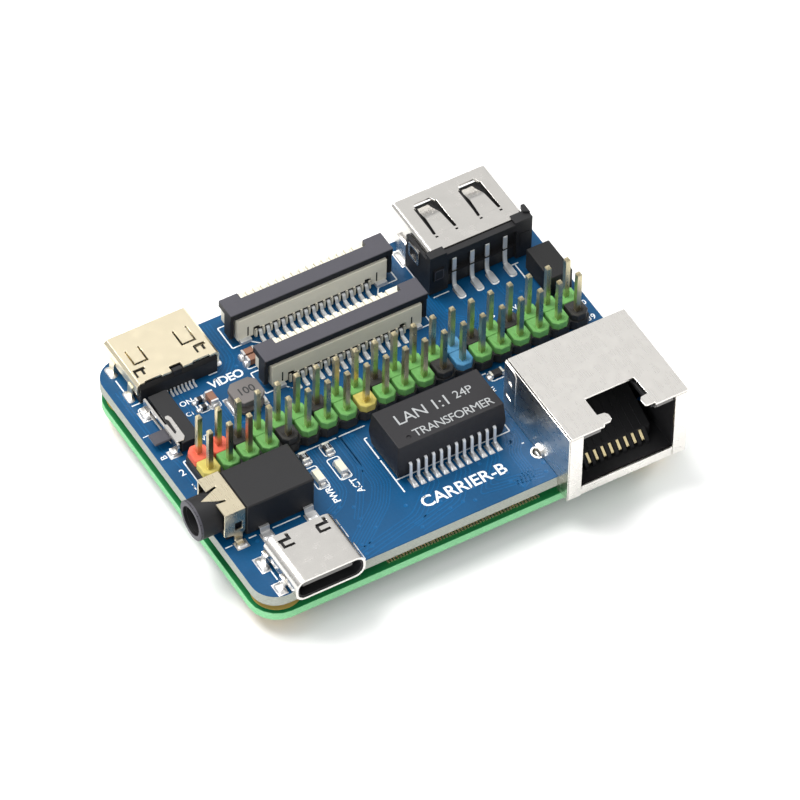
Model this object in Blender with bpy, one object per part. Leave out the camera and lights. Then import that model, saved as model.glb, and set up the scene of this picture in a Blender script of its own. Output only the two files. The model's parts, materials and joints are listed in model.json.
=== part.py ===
"""Single board computer: a compute module plugged under a connector-packed carrier board.

Frame: +Z up, metres. The origin is the middle of the whole outline, ports included, on the
plane of the processor lid that the computer rests on. +Y points to the edge with the USB-A
port, and -Y to the edge with the network jack and the USB-C port.

The sizes below are in millimetres. Piece positions are measured from the front-left corner of
the carrier board, X along the long side, Y towards the back and Z from the carrier's top face.
"""

import math

import bmesh
import bpy
from mathutils import Vector

MM = 0.001

# Driving dimensions
BOARD_X = 55.0
BOARD_Y = 40.0
CARRIER_T = 1.6
MODULE_T = 1.2
STACK_GAP = 1.5
CORNER_R = 3.0
HOLE_INSET = 3.5
HOLE_D = 2.7
SEAT = 0.3  # clearance under a piece that stands on a board
FIT = 0.3  # clearance between two pieces that touch
PROCESSOR_H = 2.38  # processor package with its lid, above the module's face

# Heights derived from the stack, from the carrier's top face
CARRIER_BOTTOM = -CARRIER_T
MODULE_TOP = CARRIER_BOTTOM - STACK_GAP
MODULE_BOTTOM = MODULE_TOP - MODULE_T
LID_FACE = MODULE_BOTTOM - PROCESSOR_H

# Pin header, 2 rows at 2.54 mm
PITCH = 2.54
PIN_COLUMNS = 20
HEADER_X = 2.37
HEADER_Y = 17.56
HEADER_H = 2.5
PIN_TOP = 8.6
PIN_SIDE = 0.64

# Network jack, sunk in a cut-out of the carrier
JACK_W = 15.7
JACK_X = BOARD_X - 1.25 - JACK_W
JACK_FRONT = -2.05
JACK_DEPTH = 14.0
JACK_BACK = JACK_FRONT + JACK_DEPTH
JACK_TOP = 8.1
JACK_BOTTOM = -2.3
JACK_WALL = 0.4
JACK_MOUTH_W = 12.2
JACK_CONTACT_PITCH = 1.02

# USB-A port
USB_A_W = 12.7
USB_A_X = BOARD_X - 2.6 - USB_A_W
USB_A_DEPTH = 8.9
USB_A_BACK = BOARD_Y + 0.3
USB_A_FRONT = USB_A_BACK - USB_A_DEPTH
USB_A_LOW = 0.6
USB_A_H = 5.7
USB_A_WALL = 0.3
USB_A_LEADS = (-3.5, -1.0, 1.0, 3.5)

# USB-C port
USB_C_X = 7.5
USB_C_W = 8.94
USB_C_H = 3.2
USB_C_FRONT = -1.65
USB_C_LENGTH = 7.35
USB_C_WALL = 0.3

# Video port
VIDEO_X = 1.9
VIDEO_W = 10.7
VIDEO_DEPTH = 7.6
VIDEO_BACK = BOARD_Y + 0.6
VIDEO_FRONT = VIDEO_BACK - VIDEO_DEPTH
VIDEO_H = 3.2
VIDEO_WALL = 0.3

# Flat-cable connectors with lifting sliders
FPC_X = 16.6
FPC_W = 19.7
FPC_DEPTH = 3.9
FPC_H = 3.6
FPC_FRONT_Y = 27.3
FPC_REAR_Y = BOARD_Y - 0.9 - FPC_DEPTH
FPC_CONTACTS = 15
SLIDER_TOP = 4.9

# Audio jack
AUDIO_X = 3.1
AUDIO_LENGTH = 8.75
AUDIO_Y = 9.5
AUDIO_W = 6.2
AUDIO_H = 5.0
BARREL_D = 4.9
BARREL_BORE = 3.6
BARREL_END = -2.3
BARREL_Z = 2.75

# Slide switch
SWITCH_X = 2.5
SWITCH_Y = 23.8
SWITCH_W = 2.8
SWITCH_L = 8.0
SWITCH_H = 1.5
KNOB_L = 1.7
KNOB_OUT = 1.9
SWITCH_TRAVEL = 2.0

# Network transformer
LAN_X = 21.8
LAN_Y = 8.1
LAN_L = 14.2
LAN_W = 6.5
LAN_TOP = 5.5
LAN_PITCH = 1.0
LAN_SIDE_LEADS = 12

# Fan lead's socket
FAN_W = 3.1
FAN_L = 5.4
FAN_TOP = 3.5

# Board-to-board connectors along both long edges
LINK_X = 26.2
LINK_L = 22.6
LINK_W = 3.4
LINK_INSET = 3.5

# Processor on the module's lower face
PROCESSOR_X = 31.0
PROCESSOR_Y = 19.0
PROCESSOR_SIDE = 15.0
LID_SIDE = 13.6

# The frame's origin, measured from the carrier's front-left corner
ORIGIN_X = (min(BARREL_END, 0.0) + max(BOARD_X, JACK_X + JACK_W)) / 2
ORIGIN_Y = (min(USB_C_FRONT, JACK_FRONT) + max(VIDEO_BACK, USB_A_BACK, BOARD_Y)) / 2

MATERIALS = {
    "carrier_mask": ((0.012, 0.09, 0.24), 0.35, 0.0),
    "module_mask": ((0.03, 0.28, 0.08), 0.4, 0.0),
    "black_plastic": ((0.02, 0.02, 0.022), 0.5, 0.0),
    "dark_slider": ((0.09, 0.085, 0.1), 0.5, 0.0),
    "beige_plastic": ((0.62, 0.58, 0.48), 0.5, 0.0),
    "bright_steel": ((0.78, 0.77, 0.75), 0.25, 1.0),
    "gold_shell": ((0.86, 0.74, 0.5), 0.3, 1.0),
    "contact_gold": ((0.9, 0.7, 0.35), 0.25, 1.0),
    "tin": ((0.72, 0.72, 0.72), 0.3, 1.0),
    "black_epoxy": ((0.03, 0.03, 0.033), 0.6, 0.0),
    "ferrite": ((0.14, 0.13, 0.125), 0.6, 0.0),
    "cap_brown": ((0.35, 0.24, 0.18), 0.5, 0.0),
    "chip_white": ((0.75, 0.75, 0.72), 0.45, 0.0),
    "lid_nickel": ((0.6, 0.6, 0.6), 0.35, 1.0),
    "header_plastic": ((0.05, 0.3, 0.06), 0.5, 0.0),
}


def prism(points, axis, low, high):
    """A polygon extruded along an axis; points run in the plane of the other two axes, in order."""
    order = {"X": (1, 2, 0), "Y": (0, 2, 1), "Z": (0, 1, 2)}[axis]

    def place(point, depth):
        position = [0.0, 0.0, 0.0]
        position[order[0]] = point[0]
        position[order[1]] = point[1]
        position[order[2]] = depth
        return Vector(position) * MM

    bm = bmesh.new()
    start = [bm.verts.new(place(point, low)) for point in points]
    end = [bm.verts.new(place(point, high)) for point in points]
    bm.faces.new(start)
    bm.faces.new(end)
    count = len(points)
    for i in range(count):
        j = (i + 1) % count
        bm.faces.new((start[i], start[j], end[j], end[i]))
    bmesh.ops.recalc_face_normals(bm, faces=bm.faces)
    return bm


def block(x0, x1, y0, y1, z0, z1):
    return prism([(x0, y0), (x1, y0), (x1, y1), (x0, y1)], "Z", z0, z1)


def chamfered(x0, x1, y0, y1, z0, z1, size):
    """A moulded block with all its edges broken."""
    bm = block(x0, x1, y0, y1, z0, z1)
    bmesh.ops.bevel(bm, geom=bm.edges[:], offset=size * MM, segments=1, affect="EDGES")
    bmesh.ops.recalc_face_normals(bm, faces=bm.faces)
    return bm


def rounded(x0, x1, y0, y1, radius, steps=5):
    """The points of a rectangle with rounded corners."""
    centres = (
        (x1 - radius, y1 - radius, 0),
        (x0 + radius, y1 - radius, 90),
        (x0 + radius, y0 + radius, 180),
        (x1 - radius, y0 + radius, 270),
    )
    points = []
    for cx, cy, first in centres:
        for k in range(steps + 1):
            angle = math.radians(first + 90 * k / steps)
            points.append((cx + radius * math.cos(angle), cy + radius * math.sin(angle)))
    return points


def circle(cx, cy, diameter, sides):
    radius = diameter / 2
    turns = [2 * math.pi * (k + 0.5) / sides for k in range(sides)]
    return [(cx + radius * math.cos(a), cy + radius * math.sin(a)) for a in turns]


def mesh_object(name, pieces):
    """One object that holds the given bmesh pieces."""
    joined = bmesh.new()
    for piece in pieces:
        mesh = bpy.data.meshes.new(name)
        piece.to_mesh(mesh)
        piece.free()
        joined.from_mesh(mesh)
        bpy.data.meshes.remove(mesh)
    mesh = bpy.data.meshes.new(name)
    joined.to_mesh(mesh)
    joined.free()
    obj = bpy.data.objects.new(name, mesh)
    bpy.context.scene.collection.objects.link(obj)
    return obj


def combine(target, pieces, operation):
    """Unites the target with the pieces, or cuts them out of it, and keeps the result as its mesh."""
    tool = mesh_object("tool", pieces)
    tool.hide_render = True
    tool.display_type = "WIRE"
    modifier = target.modifiers.new(operation.title(), "BOOLEAN")
    modifier.operation = operation
    modifier.solver = "EXACT"
    modifier.use_self = len(pieces) > 1
    modifier.object = tool
    bpy.context.view_layer.update()
    graph = bpy.context.evaluated_depsgraph_get()
    result = bpy.data.meshes.new_from_object(target.evaluated_get(graph))
    target.modifiers.clear()
    target.data = result
    bpy.data.objects.remove(tool)


def material(name):
    found = bpy.data.materials.get(name)
    if found:
        return found
    colour, roughness, metallic = MATERIALS[name]
    found = bpy.data.materials.new(name)
    found.use_nodes = True
    shader = found.node_tree.nodes["Principled BSDF"]
    shader.inputs["Base Color"].default_value = (*colour, 1.0)
    shader.inputs["Roughness"].default_value = roughness
    shader.inputs["Metallic"].default_value = metallic
    found.diffuse_color = (*colour, 1.0)
    return found


def part(name, look, base, parent, add=(), cut=(), datum=(0.0, 0.0, 0.0), smooth=False):
    """Makes a named piece from a base shape, shapes to unite and shapes to cut, about its datum."""
    obj = mesh_object(name, [base])
    if add:
        combine(obj, list(add), "UNION")
    if cut:
        combine(obj, list(cut), "DIFFERENCE")
    offset = Vector(datum) * MM
    bm = bmesh.new()
    bm.from_mesh(obj.data)
    bmesh.ops.dissolve_limit(bm, angle_limit=0.002, verts=bm.verts[:], edges=bm.edges[:])
    bmesh.ops.translate(bm, verts=bm.verts[:], vec=-offset)
    bm.to_mesh(obj.data)
    bm.free()
    obj.data.name = name
    obj.data.materials.clear()
    obj.data.materials.append(material(look))
    if smooth:
        obj.data.shade_smooth()
        obj.data.set_sharp_from_angle(angle=math.radians(35))
    obj.location = offset
    obj.parent = parent
    return obj


def frame_empty(name):
    empty = bpy.data.objects.new(name, None)
    empty.location = Vector((-ORIGIN_X, -ORIGIN_Y, -LID_FACE)) * MM
    bpy.context.scene.collection.objects.link(empty)
    return empty


def leg_plans(port):
    """The plan (x0, x1, y0, y1) of each leg of a port's shell that goes into the carrier board."""
    left, width, spans, out = {
        "usb_c": (USB_C_X - USB_C_W / 2, USB_C_W, ((0.7, 1.6), (4.5, 5.5)), 0.35),
        "usb_a": (USB_A_X, USB_A_W, ((USB_A_BACK - 4.1, USB_A_BACK - 2.1),), 0.35),
        "video": (
            VIDEO_X,
            VIDEO_W,
            ((VIDEO_FRONT + 0.6, VIDEO_FRONT + 1.8), (VIDEO_BACK - 2.6, VIDEO_BACK - 1.4)),
            0.2,
        ),
    }[port]
    right = left + width
    plans = []
    for y0, y1 in spans:
        plans.append((left - out, left + 0.15, y0, y1))
        plans.append((right - 0.15, right + out, y0, y1))
    return plans


def shell_legs(port, high):
    """The legs of a port's shell, from inside the board up to its side."""
    return [block(*plan, -1.2, high) for plan in leg_plans(port)]


def carrier_board(parent):
    """The upper board: the jack's cut-out, and a slot for each shell leg."""
    base = prism(rounded(0, BOARD_X, 0, BOARD_Y, CORNER_R), "Z", CARRIER_BOTTOM, 0)
    left = JACK_X - FIT
    right = JACK_X + JACK_W + FIT
    back = JACK_BACK + FIT
    mouth = [(left, back), (left, 1.2), (left - 0.35, 0.4), (left - 1.2, -1.0)]
    mouth += [(right, -1.0), (right, back)]
    cuts = [prism(mouth, "Z", CARRIER_BOTTOM - 1, 1)]
    for x in (left, right):
        cuts.append(prism(circle(x, 3.7, 1.9, 12), "Z", CARRIER_BOTTOM - 1, 1))
    for x0, x1, y0, y1 in leg_plans("usb_a") + leg_plans("usb_c") + leg_plans("video"):
        grown = (x0 - 0.25, x1 + 0.25, y0 - 0.25, y1 + 0.25)
        cuts.append(block(*grown, CARRIER_BOTTOM - 1, 1))
    part("carrier_board", "carrier_mask", base, parent, cut=cuts)


def module_board(parent):
    """The lower board, with a hole at each corner."""
    base = prism(rounded(0, BOARD_X, 0, BOARD_Y, CORNER_R + 0.5), "Z", MODULE_BOTTOM, MODULE_TOP)
    holes = []
    for x in (HOLE_INSET, BOARD_X - HOLE_INSET):
        for y in (HOLE_INSET, BOARD_Y - HOLE_INSET):
            holes.append(prism(circle(x, y, HOLE_D, 14), "Z", MODULE_BOTTOM - 1, MODULE_TOP + 1))
    part("module_board", "module_mask", base, parent, cut=holes)


def board_links(parent):
    """The mating connector halves between the boards, a pair along each long edge."""
    for side, y in (("front", LINK_INSET), ("rear", BOARD_Y - LINK_INSET)):
        x0 = LINK_X - LINK_L / 2
        x1 = LINK_X + LINK_L / 2
        low = MODULE_TOP + 0.12
        high = CARRIER_BOTTOM - 0.12
        step = low + 0.45
        trough = block(x0 + 1.0, x1 - 1.0, y - 1.05, y + 1.05, low + 0.25, high)
        receptacle = block(x0, x1, y - LINK_W / 2, y + LINK_W / 2, low, low + 0.85)
        part(f"module_receptacle_{side}", "black_plastic", receptacle, parent, cut=[trough])
        spine = block(x0 + 1.25, x1 - 1.25, y - 0.8, y + 0.8, step + 0.1, high)
        head = block(x0 + 0.5, x1 - 0.5, y - 1.4, y + 1.4, low + 0.97, high)
        part(f"carrier_plug_{side}", "black_plastic", head, parent, add=[spine])


def pin_header(parent):
    """The 2x20 header: a moulding with notched cells, and its square pins."""
    x1 = HEADER_X + PITCH * PIN_COLUMNS
    y1 = HEADER_Y + 2 * PITCH
    notch = 0.55
    front = []
    back = []
    for i in range(PIN_COLUMNS):
        cell = HEADER_X + PITCH * i
        front += [(cell, HEADER_Y + notch), (cell + notch, HEADER_Y)]
        front += [(cell + PITCH - notch, HEADER_Y)]
        back += [(cell, y1 - notch), (cell + notch, y1), (cell + PITCH - notch, y1)]
    outline = front + [(x1, HEADER_Y + notch), (x1, y1 - notch)] + back[::-1]
    base = prism(outline, "Z", SEAT, HEADER_H)
    pins = []
    for i in range(PIN_COLUMNS):
        for row in range(2):
            x = HEADER_X + PITCH * (i + 0.5)
            y = HEADER_Y + PITCH * (row + 0.5)
            h = PIN_SIDE / 2
            pin = block(x - h, x + h, y - h, y + h, HEADER_H - 1.0, PIN_TOP)
            top = [e for e in pin.edges if all(v.co.z > (PIN_TOP - 0.01) * MM for v in e.verts)]
            bmesh.ops.bevel(pin, geom=top, offset=0.2 * MM, segments=1, affect="EDGES")
            pins.append(pin)
    part("gpio_header", "header_plastic", base, parent, add=pins)


def network_jack(parent):
    """The network jack: a folded shell, a moulded insert, and its sprung contacts."""
    x0 = JACK_X
    x1 = JACK_X + JACK_W
    middle = (x0 + x1) / 2 + 0.15
    w = JACK_WALL
    mouth0 = middle - JACK_MOUTH_W / 2
    mouth1 = middle + JACK_MOUTH_W / 2
    mouth_low = JACK_BOTTOM + 0.95
    mouth_high = JACK_TOP - 1.1
    shell = block(x0, x1, JACK_FRONT, JACK_BACK, JACK_BOTTOM, JACK_TOP)
    inside = block(x0 + w, x1 - w, JACK_FRONT + w, JACK_BACK - w, JACK_BOTTOM + w, JACK_TOP - w)
    mouth = block(mouth0, mouth1, JACK_FRONT - 1, JACK_FRONT + 1, mouth_low, mouth_high)
    notch = [(-3.2, 2.5), (-3.2, -0.6), (-2.1, -0.6), (-2.1, JACK_FRONT - 1)]
    notch += [(2.1, JACK_FRONT - 1), (2.1, -0.6), (3.2, -0.6), (3.2, 2.5)]
    notch = [(middle + x, y) for x, y in notch]
    latch = prism(notch, "Z", JACK_TOP - 1, JACK_TOP + 1)
    slot = block(middle - 3.2, middle + 3.2, JACK_FRONT - 1, JACK_FRONT + 1, 6.5, JACK_TOP - w)
    feet = []
    for side in (-1, 1):
        edge = x0 if side < 0 else x1
        inner = edge - side * 0.1
        outer = edge + side * 0.4
        feet.append(block(min(inner, outer), max(inner, outer), 3.1, 4.3, -1.4, 1.2))
    part(
        "network_jack_shell",
        "bright_steel",
        shell,
        parent,
        add=feet,
        cut=[inside, mouth, latch, slot],
    )

    gap = w + FIT
    body = block(
        x0 + gap, x1 - gap, JACK_FRONT + gap, JACK_BACK - gap, JACK_BOTTOM + gap, JACK_TOP - gap
    )
    cavity = block(
        mouth0 - 0.1, mouth1 + 0.1, JACK_FRONT - 1, 9.0, mouth_low + 0.15, mouth_high - 0.2
    )
    latch_way = block(middle - 3.1, middle + 3.1, JACK_FRONT - 1, 6.0, 5.0, JACK_TOP)
    trough = block(middle - 4.6, middle + 4.6, 1.6, 12.0, JACK_BOTTOM + gap + 0.5, 3.4)
    part(
        "network_jack_insert",
        "black_plastic",
        body,
        parent,
        cut=[cavity, latch_way, trough],
    )

    low = JACK_BOTTOM + gap + 0.8
    base = block(middle - 4.3, middle + 4.3, 9.3, 10.9, low, 3.1)
    wires = []
    for k in range(8):
        x = middle + JACK_CONTACT_PITCH * (k - 3.5)
        path = [(9.6, 1.6), (2.2, low + 0.1), (1.9, low + 0.3), (9.6, 2.1)]
        wires.append(prism(path, "X", x - 0.23, x + 0.23))
    part("network_jack_contacts", "contact_gold", base, parent, add=wires)


def usb_a_port(parent):
    """The USB-A port: shell, moulded tongue and back, and four bent leads."""
    x0 = USB_A_X
    x1 = USB_A_X + USB_A_W
    z0 = USB_A_LOW
    z1 = USB_A_LOW + USB_A_H
    w = USB_A_WALL
    y0 = USB_A_FRONT
    middle = (x0 + x1) / 2
    shell = prism(rounded(x0, x1, z0, z1, 0.6, 3), "Y", y0, USB_A_BACK)
    tube = prism(
        rounded(x0 + w, x1 - w, z0 + w, z1 - w, 0.35, 3), "Y", y0 - 1, USB_A_BACK + 1
    )
    slots = []
    for centre in (middle - 2.95, middle + 2.95):
        for level in (z1, z0):
            low, high = level - 0.5, level + 0.5
            for side in (-1, 1):
                a = centre + side * 1.15
                b = centre + side * 1.5
                slots.append(block(min(a, b), max(a, b), y0 + 1.8, y0 + 6.9, low, high))
            slots.append(block(centre - 1.5, centre + 1.5, y0 + 6.5, y0 + 6.9, low, high))
    legs = shell_legs("usb_a", 3.4)
    part("usb_a_shell", "bright_steel", shell, parent, add=legs, cut=[tube] + slots)

    side = FIT + 0.45
    wall = y0 - 0.9
    back_wall = block(x0 - side, x1 + side, wall, y0 - FIT, SEAT, z1 - 0.25)
    wings = [
        block(x0 - side, x0 - FIT, wall, y0 + 3.5, SEAT, z1 - 0.25),
        block(x1 + FIT, x1 + side, wall, y0 + 3.5, SEAT, z1 - 0.25),
        block(x0 + w + 0.6, x1 - w - 0.6, y0 - 0.4, y0 + 1.6, z0 + w + 0.4, z1 - w - 0.4),
        block(middle - 5.2, middle + 5.2, y0 + 1.1, USB_A_BACK - 1.0, z1 - 2.75, z1 - 0.95),
    ]
    lead_top = z1 - 1.85
    recess = block(middle - 4.6, middle + 4.6, wall - 1, wall + 0.25, SEAT - 1, lead_top + FIT)
    part("usb_a_housing", "black_plastic", back_wall, parent, add=wings, cut=[recess])

    for k, shift in enumerate(USB_A_LEADS):
        x = middle + shift
        near = wall - 0.05
        path = [(near - 1.85, SEAT), (near, SEAT), (near, lead_top), (near - 0.35, lead_top)]
        path += [(near - 0.35, SEAT + 0.75), (near - 0.75, SEAT + 0.32)]
        path += [(near - 1.85, SEAT + 0.32)]
        lead = prism(path, "X", x - 0.35, x + 0.35)
        part(f"usb_a_lead_{k + 1}", "tin", lead, parent, datum=(x, near, SEAT))


def usb_c_port(parent):
    """The USB-C port: a racetrack shell open at the front, and the tongue inside."""
    half = USB_C_W / 2
    z0 = SEAT - 0.15
    z1 = z0 + USB_C_H
    back = USB_C_FRONT + USB_C_LENGTH
    w = USB_C_WALL
    shell = prism(
        rounded(USB_C_X - half, USB_C_X + half, z0, z1, 1.25, 5), "Y", USB_C_FRONT, back
    )
    tube = prism(
        rounded(USB_C_X - half + w, USB_C_X + half - w, z0 + w, z1 - w, 1.0, 5),
        "Y",
        USB_C_FRONT - 1,
        back - 0.4,
    )
    slots = []
    for centre in (USB_C_X - 2.3, USB_C_X + 2.3):
        slots.append(block(centre - 0.75, centre + 0.75, 3.5, 3.85, z1 - 0.6, z1 + 0.5))
        slots.append(block(centre - 0.75, centre - 0.4, 3.5, 4.6, z1 - 0.6, z1 + 0.5))
    legs = shell_legs("usb_c", 1.9)
    part("usb_c_shell", "bright_steel", shell, parent, add=legs, cut=[tube] + slots, smooth=True)

    gap = w + FIT
    plug = prism(
        rounded(USB_C_X - half + gap, USB_C_X + half - gap, z0 + gap, z1 - gap, 0.9, 4),
        "Y",
        back - 2.6,
        back - 0.7,
    )
    mid = (z0 + z1) / 2
    tongue = block(
        USB_C_X - 3.35, USB_C_X + 3.35, USB_C_FRONT + 1.2, back - 2.4, mid - 0.35, mid + 0.35
    )
    part("usb_c_tongue", "black_plastic", plug, parent, add=[tongue])


def video_port(parent):
    """The video port: gold shell narrowing towards the board, black rear body and tongue."""
    x0 = VIDEO_X
    x1 = VIDEO_X + VIDEO_W
    y0 = VIDEO_FRONT
    z0 = SEAT
    z1 = SEAT + VIDEO_H
    w = VIDEO_WALL
    outer = [(x0 + 1.2, z0), (x1 - 1.2, z0), (x1 - 0.5, z0 + 0.9), (x1, z0 + 1.3)]
    outer += [(x1, z1 - 0.3), (x1 - 0.3, z1), (x0 + 0.3, z1), (x0, z1 - 0.3)]
    outer += [(x0, z0 + 1.3), (x0 + 0.5, z0 + 0.9)]
    inner = [(x0 + 1.35, z0 + w), (x1 - 1.35, z0 + w), (x1 - 0.75, z0 + 1.05), (x1 - w, z0 + 1.45)]
    inner += [(x1 - w, z1 - w), (x0 + w, z1 - w), (x0 + w, z0 + 1.45), (x0 + 0.75, z0 + 1.05)]
    shell = prism(outer, "Y", VIDEO_FRONT, VIDEO_BACK)
    tube = prism(inner, "Y", VIDEO_FRONT - 1, VIDEO_BACK + 1)
    slots = []
    middle = (x0 + x1) / 2
    for centre in (middle - 2.6, middle + 2.6):
        for side in (-1, 1):
            a = centre + side * 0.7
            b = centre + side * 1.0
            slots.append(block(min(a, b), max(a, b), y0 + 3.6, y0 + 6.2, z1 - 0.6, z1 + 0.5))
        slots.append(block(centre - 1.0, centre + 1.0, y0 + 3.6, y0 + 3.9, z1 - 0.6, z1 + 0.5))
    legs = shell_legs("video", 2.4)
    part("video_shell", "gold_shell", shell, parent, add=legs, cut=[tube] + slots)

    rear = block(x0 + 0.3, x1 - 0.1, y0 - FIT - 0.55, y0 - FIT, SEAT, z1 - 0.6)
    plug = [
        block(x0 + 1.9, x1 - 1.9, y0 - 0.6, y0 + 2.4, z0 + w + 0.3, z1 - w - 0.3),
        block(middle - 3.9, middle + 3.9, y0 + 2.2, VIDEO_BACK - 1.3, z0 + 1.35, z0 + 2.0),
    ]
    part("video_insert", "black_plastic", rear, parent, add=plug)


def flat_cable_connector(parent, side, y0):
    """A vertical flat-cable connector: slotted housing with a comb, and the slider on top."""
    x0 = FPC_X
    x1 = FPC_X + FPC_W
    middle = (x0 + x1) / 2
    housing = block(x0, x1, y0, y0 + FPC_DEPTH, SEAT, FPC_H)
    well = block(x0 + 2.0, x1 - 2.0, y0 + 1.0, y0 + 2.3, 1.3, FPC_H + 1)
    cuts = [well]
    for k in range(FPC_CONTACTS):
        x = middle + (k - (FPC_CONTACTS - 1) / 2)
        cuts.append(block(x - 0.2, x + 0.2, y0 + 2.9, y0 + FPC_DEPTH + 1, 2.4, FPC_H + 1))
    for edge in (x0 + 2.1, x1 - 2.1 - 0.8):
        cuts.append(block(edge, edge + 0.8, y0 - 1, y0 + 0.35, SEAT - 1, 1.6))
    part(f"fpc_{side}_housing", "beige_plastic", housing, parent, cut=cuts)

    lift = FPC_H + FIT
    bar = [(x0 - 0.85, y0 + 0.1), (x1 + 0.85, y0 + 0.1), (x1 + 0.85, y0 + 3.0)]
    bar += [(x1 - 1.6, y0 + 3.0), (x1 - 1.6, y0 + 2.1), (x0 + 1.6, y0 + 2.1)]
    bar += [(x0 + 1.6, y0 + 3.0), (x0 - 0.85, y0 + 3.0)]
    slider = prism(bar, "Z", lift, SLIDER_TOP)
    blade = block(x0 + 2.3, x1 - 2.3, y0 + 1.3, y0 + 1.95, 1.8, lift + 0.2)
    legs = [
        block(x0 - 0.85, x0 - FIT, y0 + 0.3, y0 + 1.7, 0.7, lift + 0.2),
        block(x1 + FIT, x1 + 0.85, y0 + 0.3, y0 + 1.7, 0.7, lift + 0.2),
    ]
    part(
        f"fpc_{side}_slider",
        "dark_slider",
        slider,
        parent,
        add=[blade] + legs,
        datum=(middle, y0 + 1.6, lift),
    )


def slide_switch(parent):
    """The boot switch: body, bent metal cover, sprung contact and the knob that slides along Y."""
    x0 = SWITCH_X
    x1 = SWITCH_X + SWITCH_W
    y0 = SWITCH_Y
    y1 = SWITCH_Y + SWITCH_L
    low = SEAT
    high = SEAT + SWITCH_H
    body = block(x0 + 0.4, x1, y0, y1, low, high)
    groove = block(x0 - 1, x0 + 1.3, y0 + 1.3, y1 - 1.3, low + 0.3, high - 0.3)
    part("boot_switch_body", "black_plastic", body, parent, cut=[groove])

    cover = block(x0 - 0.2, x0 + 0.1, y0, y1, low, high)
    window = block(x0 - 1, x0 + 1, y0 + 1.5, y1 - 1.5, low + 0.25, high - 0.35)
    feet = [
        block(x0 - 0.8, x0, y0 + 0.1, y0 + 1.0, low, low + 0.25),
        block(x0 - 0.8, x0, y1 - 1.0, y1 - 0.1, low, low + 0.25),
    ]
    part("boot_switch_cover", "bright_steel", cover, parent, add=feet, cut=[window])

    start = y0 + 1.75
    z0 = low + 0.55
    z1 = high - 0.6
    knob = block(x0 - 0.2 - KNOB_OUT, x0 + 1.0, start, start + KNOB_L, z0, z1)
    part(
        "boot_switch_knob",
        "dark_slider",
        knob,
        parent,
        datum=(x0, start + KNOB_L / 2, (z0 + z1) / 2),
    )

    hook = [(x0 + 0.7, y0 + 0.9), (x0 + 1.5, y0 + 0.5), (x0 + 2.1, y0 + 1.2), (x0 + 2.0, y0 + 4.6)]
    hook += [(x0 + 1.5, y0 + 4.6), (x0 + 1.5, y0 + 2.1), (x0 + 0.7, y0 + 2.1)]
    spring = prism(hook, "Z", high + 0.2, high + 0.4)
    part("boot_switch_spring", "bright_steel", spring, parent)


def audio_jack(parent):
    """The audio jack: moulded body with its bored barrel, and the gold clip around its end."""
    x0 = AUDIO_X
    x1 = AUDIO_X + AUDIO_LENGTH
    y0 = AUDIO_Y
    y1 = AUDIO_Y + AUDIO_W
    middle = (y0 + y1) / 2
    neck0 = x0 - 2.3
    clip0 = neck0 + 0.15 + FIT
    body = chamfered(x0, x1, y0, y1, SEAT, AUDIO_H, 0.15)
    neck = block(neck0, x0 + 0.5, y0 + 0.55, y1 - 0.55, SEAT, AUDIO_H - 0.55)
    barrel = prism(circle(middle, BARREL_Z, BARREL_D, 28), "X", BARREL_END, neck0 + 0.15)
    bore = prism(circle(middle, BARREL_Z, BARREL_BORE, 24), "X", BARREL_END - 1, x1 - 1.0)
    part("audio_jack_body", "black_plastic", body, parent, add=[neck, barrel], cut=[bore], smooth=True)

    outer = block(clip0, x0 - FIT, y0, y1, 1.1, AUDIO_H)
    hollow = block(neck0 - 1, x0 + 1, y0 + 0.25, y1 - 0.25, 0, AUDIO_H - 0.25)
    legs = [
        block(x0 - 1.7, x0 - 0.6, y0 - 0.0, y0 + 0.25, SEAT, 1.4),
        block(x0 - 1.7, x0 - 0.6, y1 - 0.25, y1, SEAT, 1.4),
    ]
    slots = []
    for y in (middle - 1.5, middle + 1.3):
        slots.append(block(neck0, clip0 + 0.9, y, y + 0.25, AUDIO_H - 0.6, AUDIO_H + 1))
    window = block(x0 - 1.75, x0 - 0.75, y0 - 1, y0 + 0.5, 1.5, 2.6)
    part("audio_jack_clip", "gold_shell", outer, parent, add=legs, cut=[hollow, window] + slots)

    for name, x in (("front", 4.5), ("far", 10.2)):
        tab = block(x, x + 1.5, y0 - 1.1, y0 - FIT, SEAT, SEAT + 0.25)
        part(f"audio_jack_tab_{name}", "tin", tab, parent)


def lan_transformer(parent):
    """The network transformer: moulded body and its two rows of bent leads."""
    x0 = LAN_X
    y0 = LAN_Y
    y1 = LAN_Y + LAN_W
    body = chamfered(x0, x0 + LAN_L, y0, y1, SEAT + 0.35, LAN_TOP, 0.2)
    middle = x0 + LAN_L / 2
    leads = []
    t = 0.25
    for k in range(LAN_SIDE_LEADS):
        x = middle + LAN_PITCH * (k - (LAN_SIDE_LEADS - 1) / 2)
        for edge, out in ((y0, -1), (y1, 1)):
            path = [(edge - out * 0.3, 2.0), (edge + out * 0.5, 2.0), (edge + out * 0.65, SEAT)]
            path += [(edge + out * 1.3, SEAT), (edge + out * 1.3, SEAT + t)]
            path += [(edge + out * 0.85, SEAT + t), (edge + out * 0.7, 2.0 + t)]
            path += [(edge - out * 0.3, 2.0 + t)]
            leads.append(prism(path, "X", x - 0.2, x + 0.2))
    part("lan_transformer", "black_epoxy", body, parent, add=leads)


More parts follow.
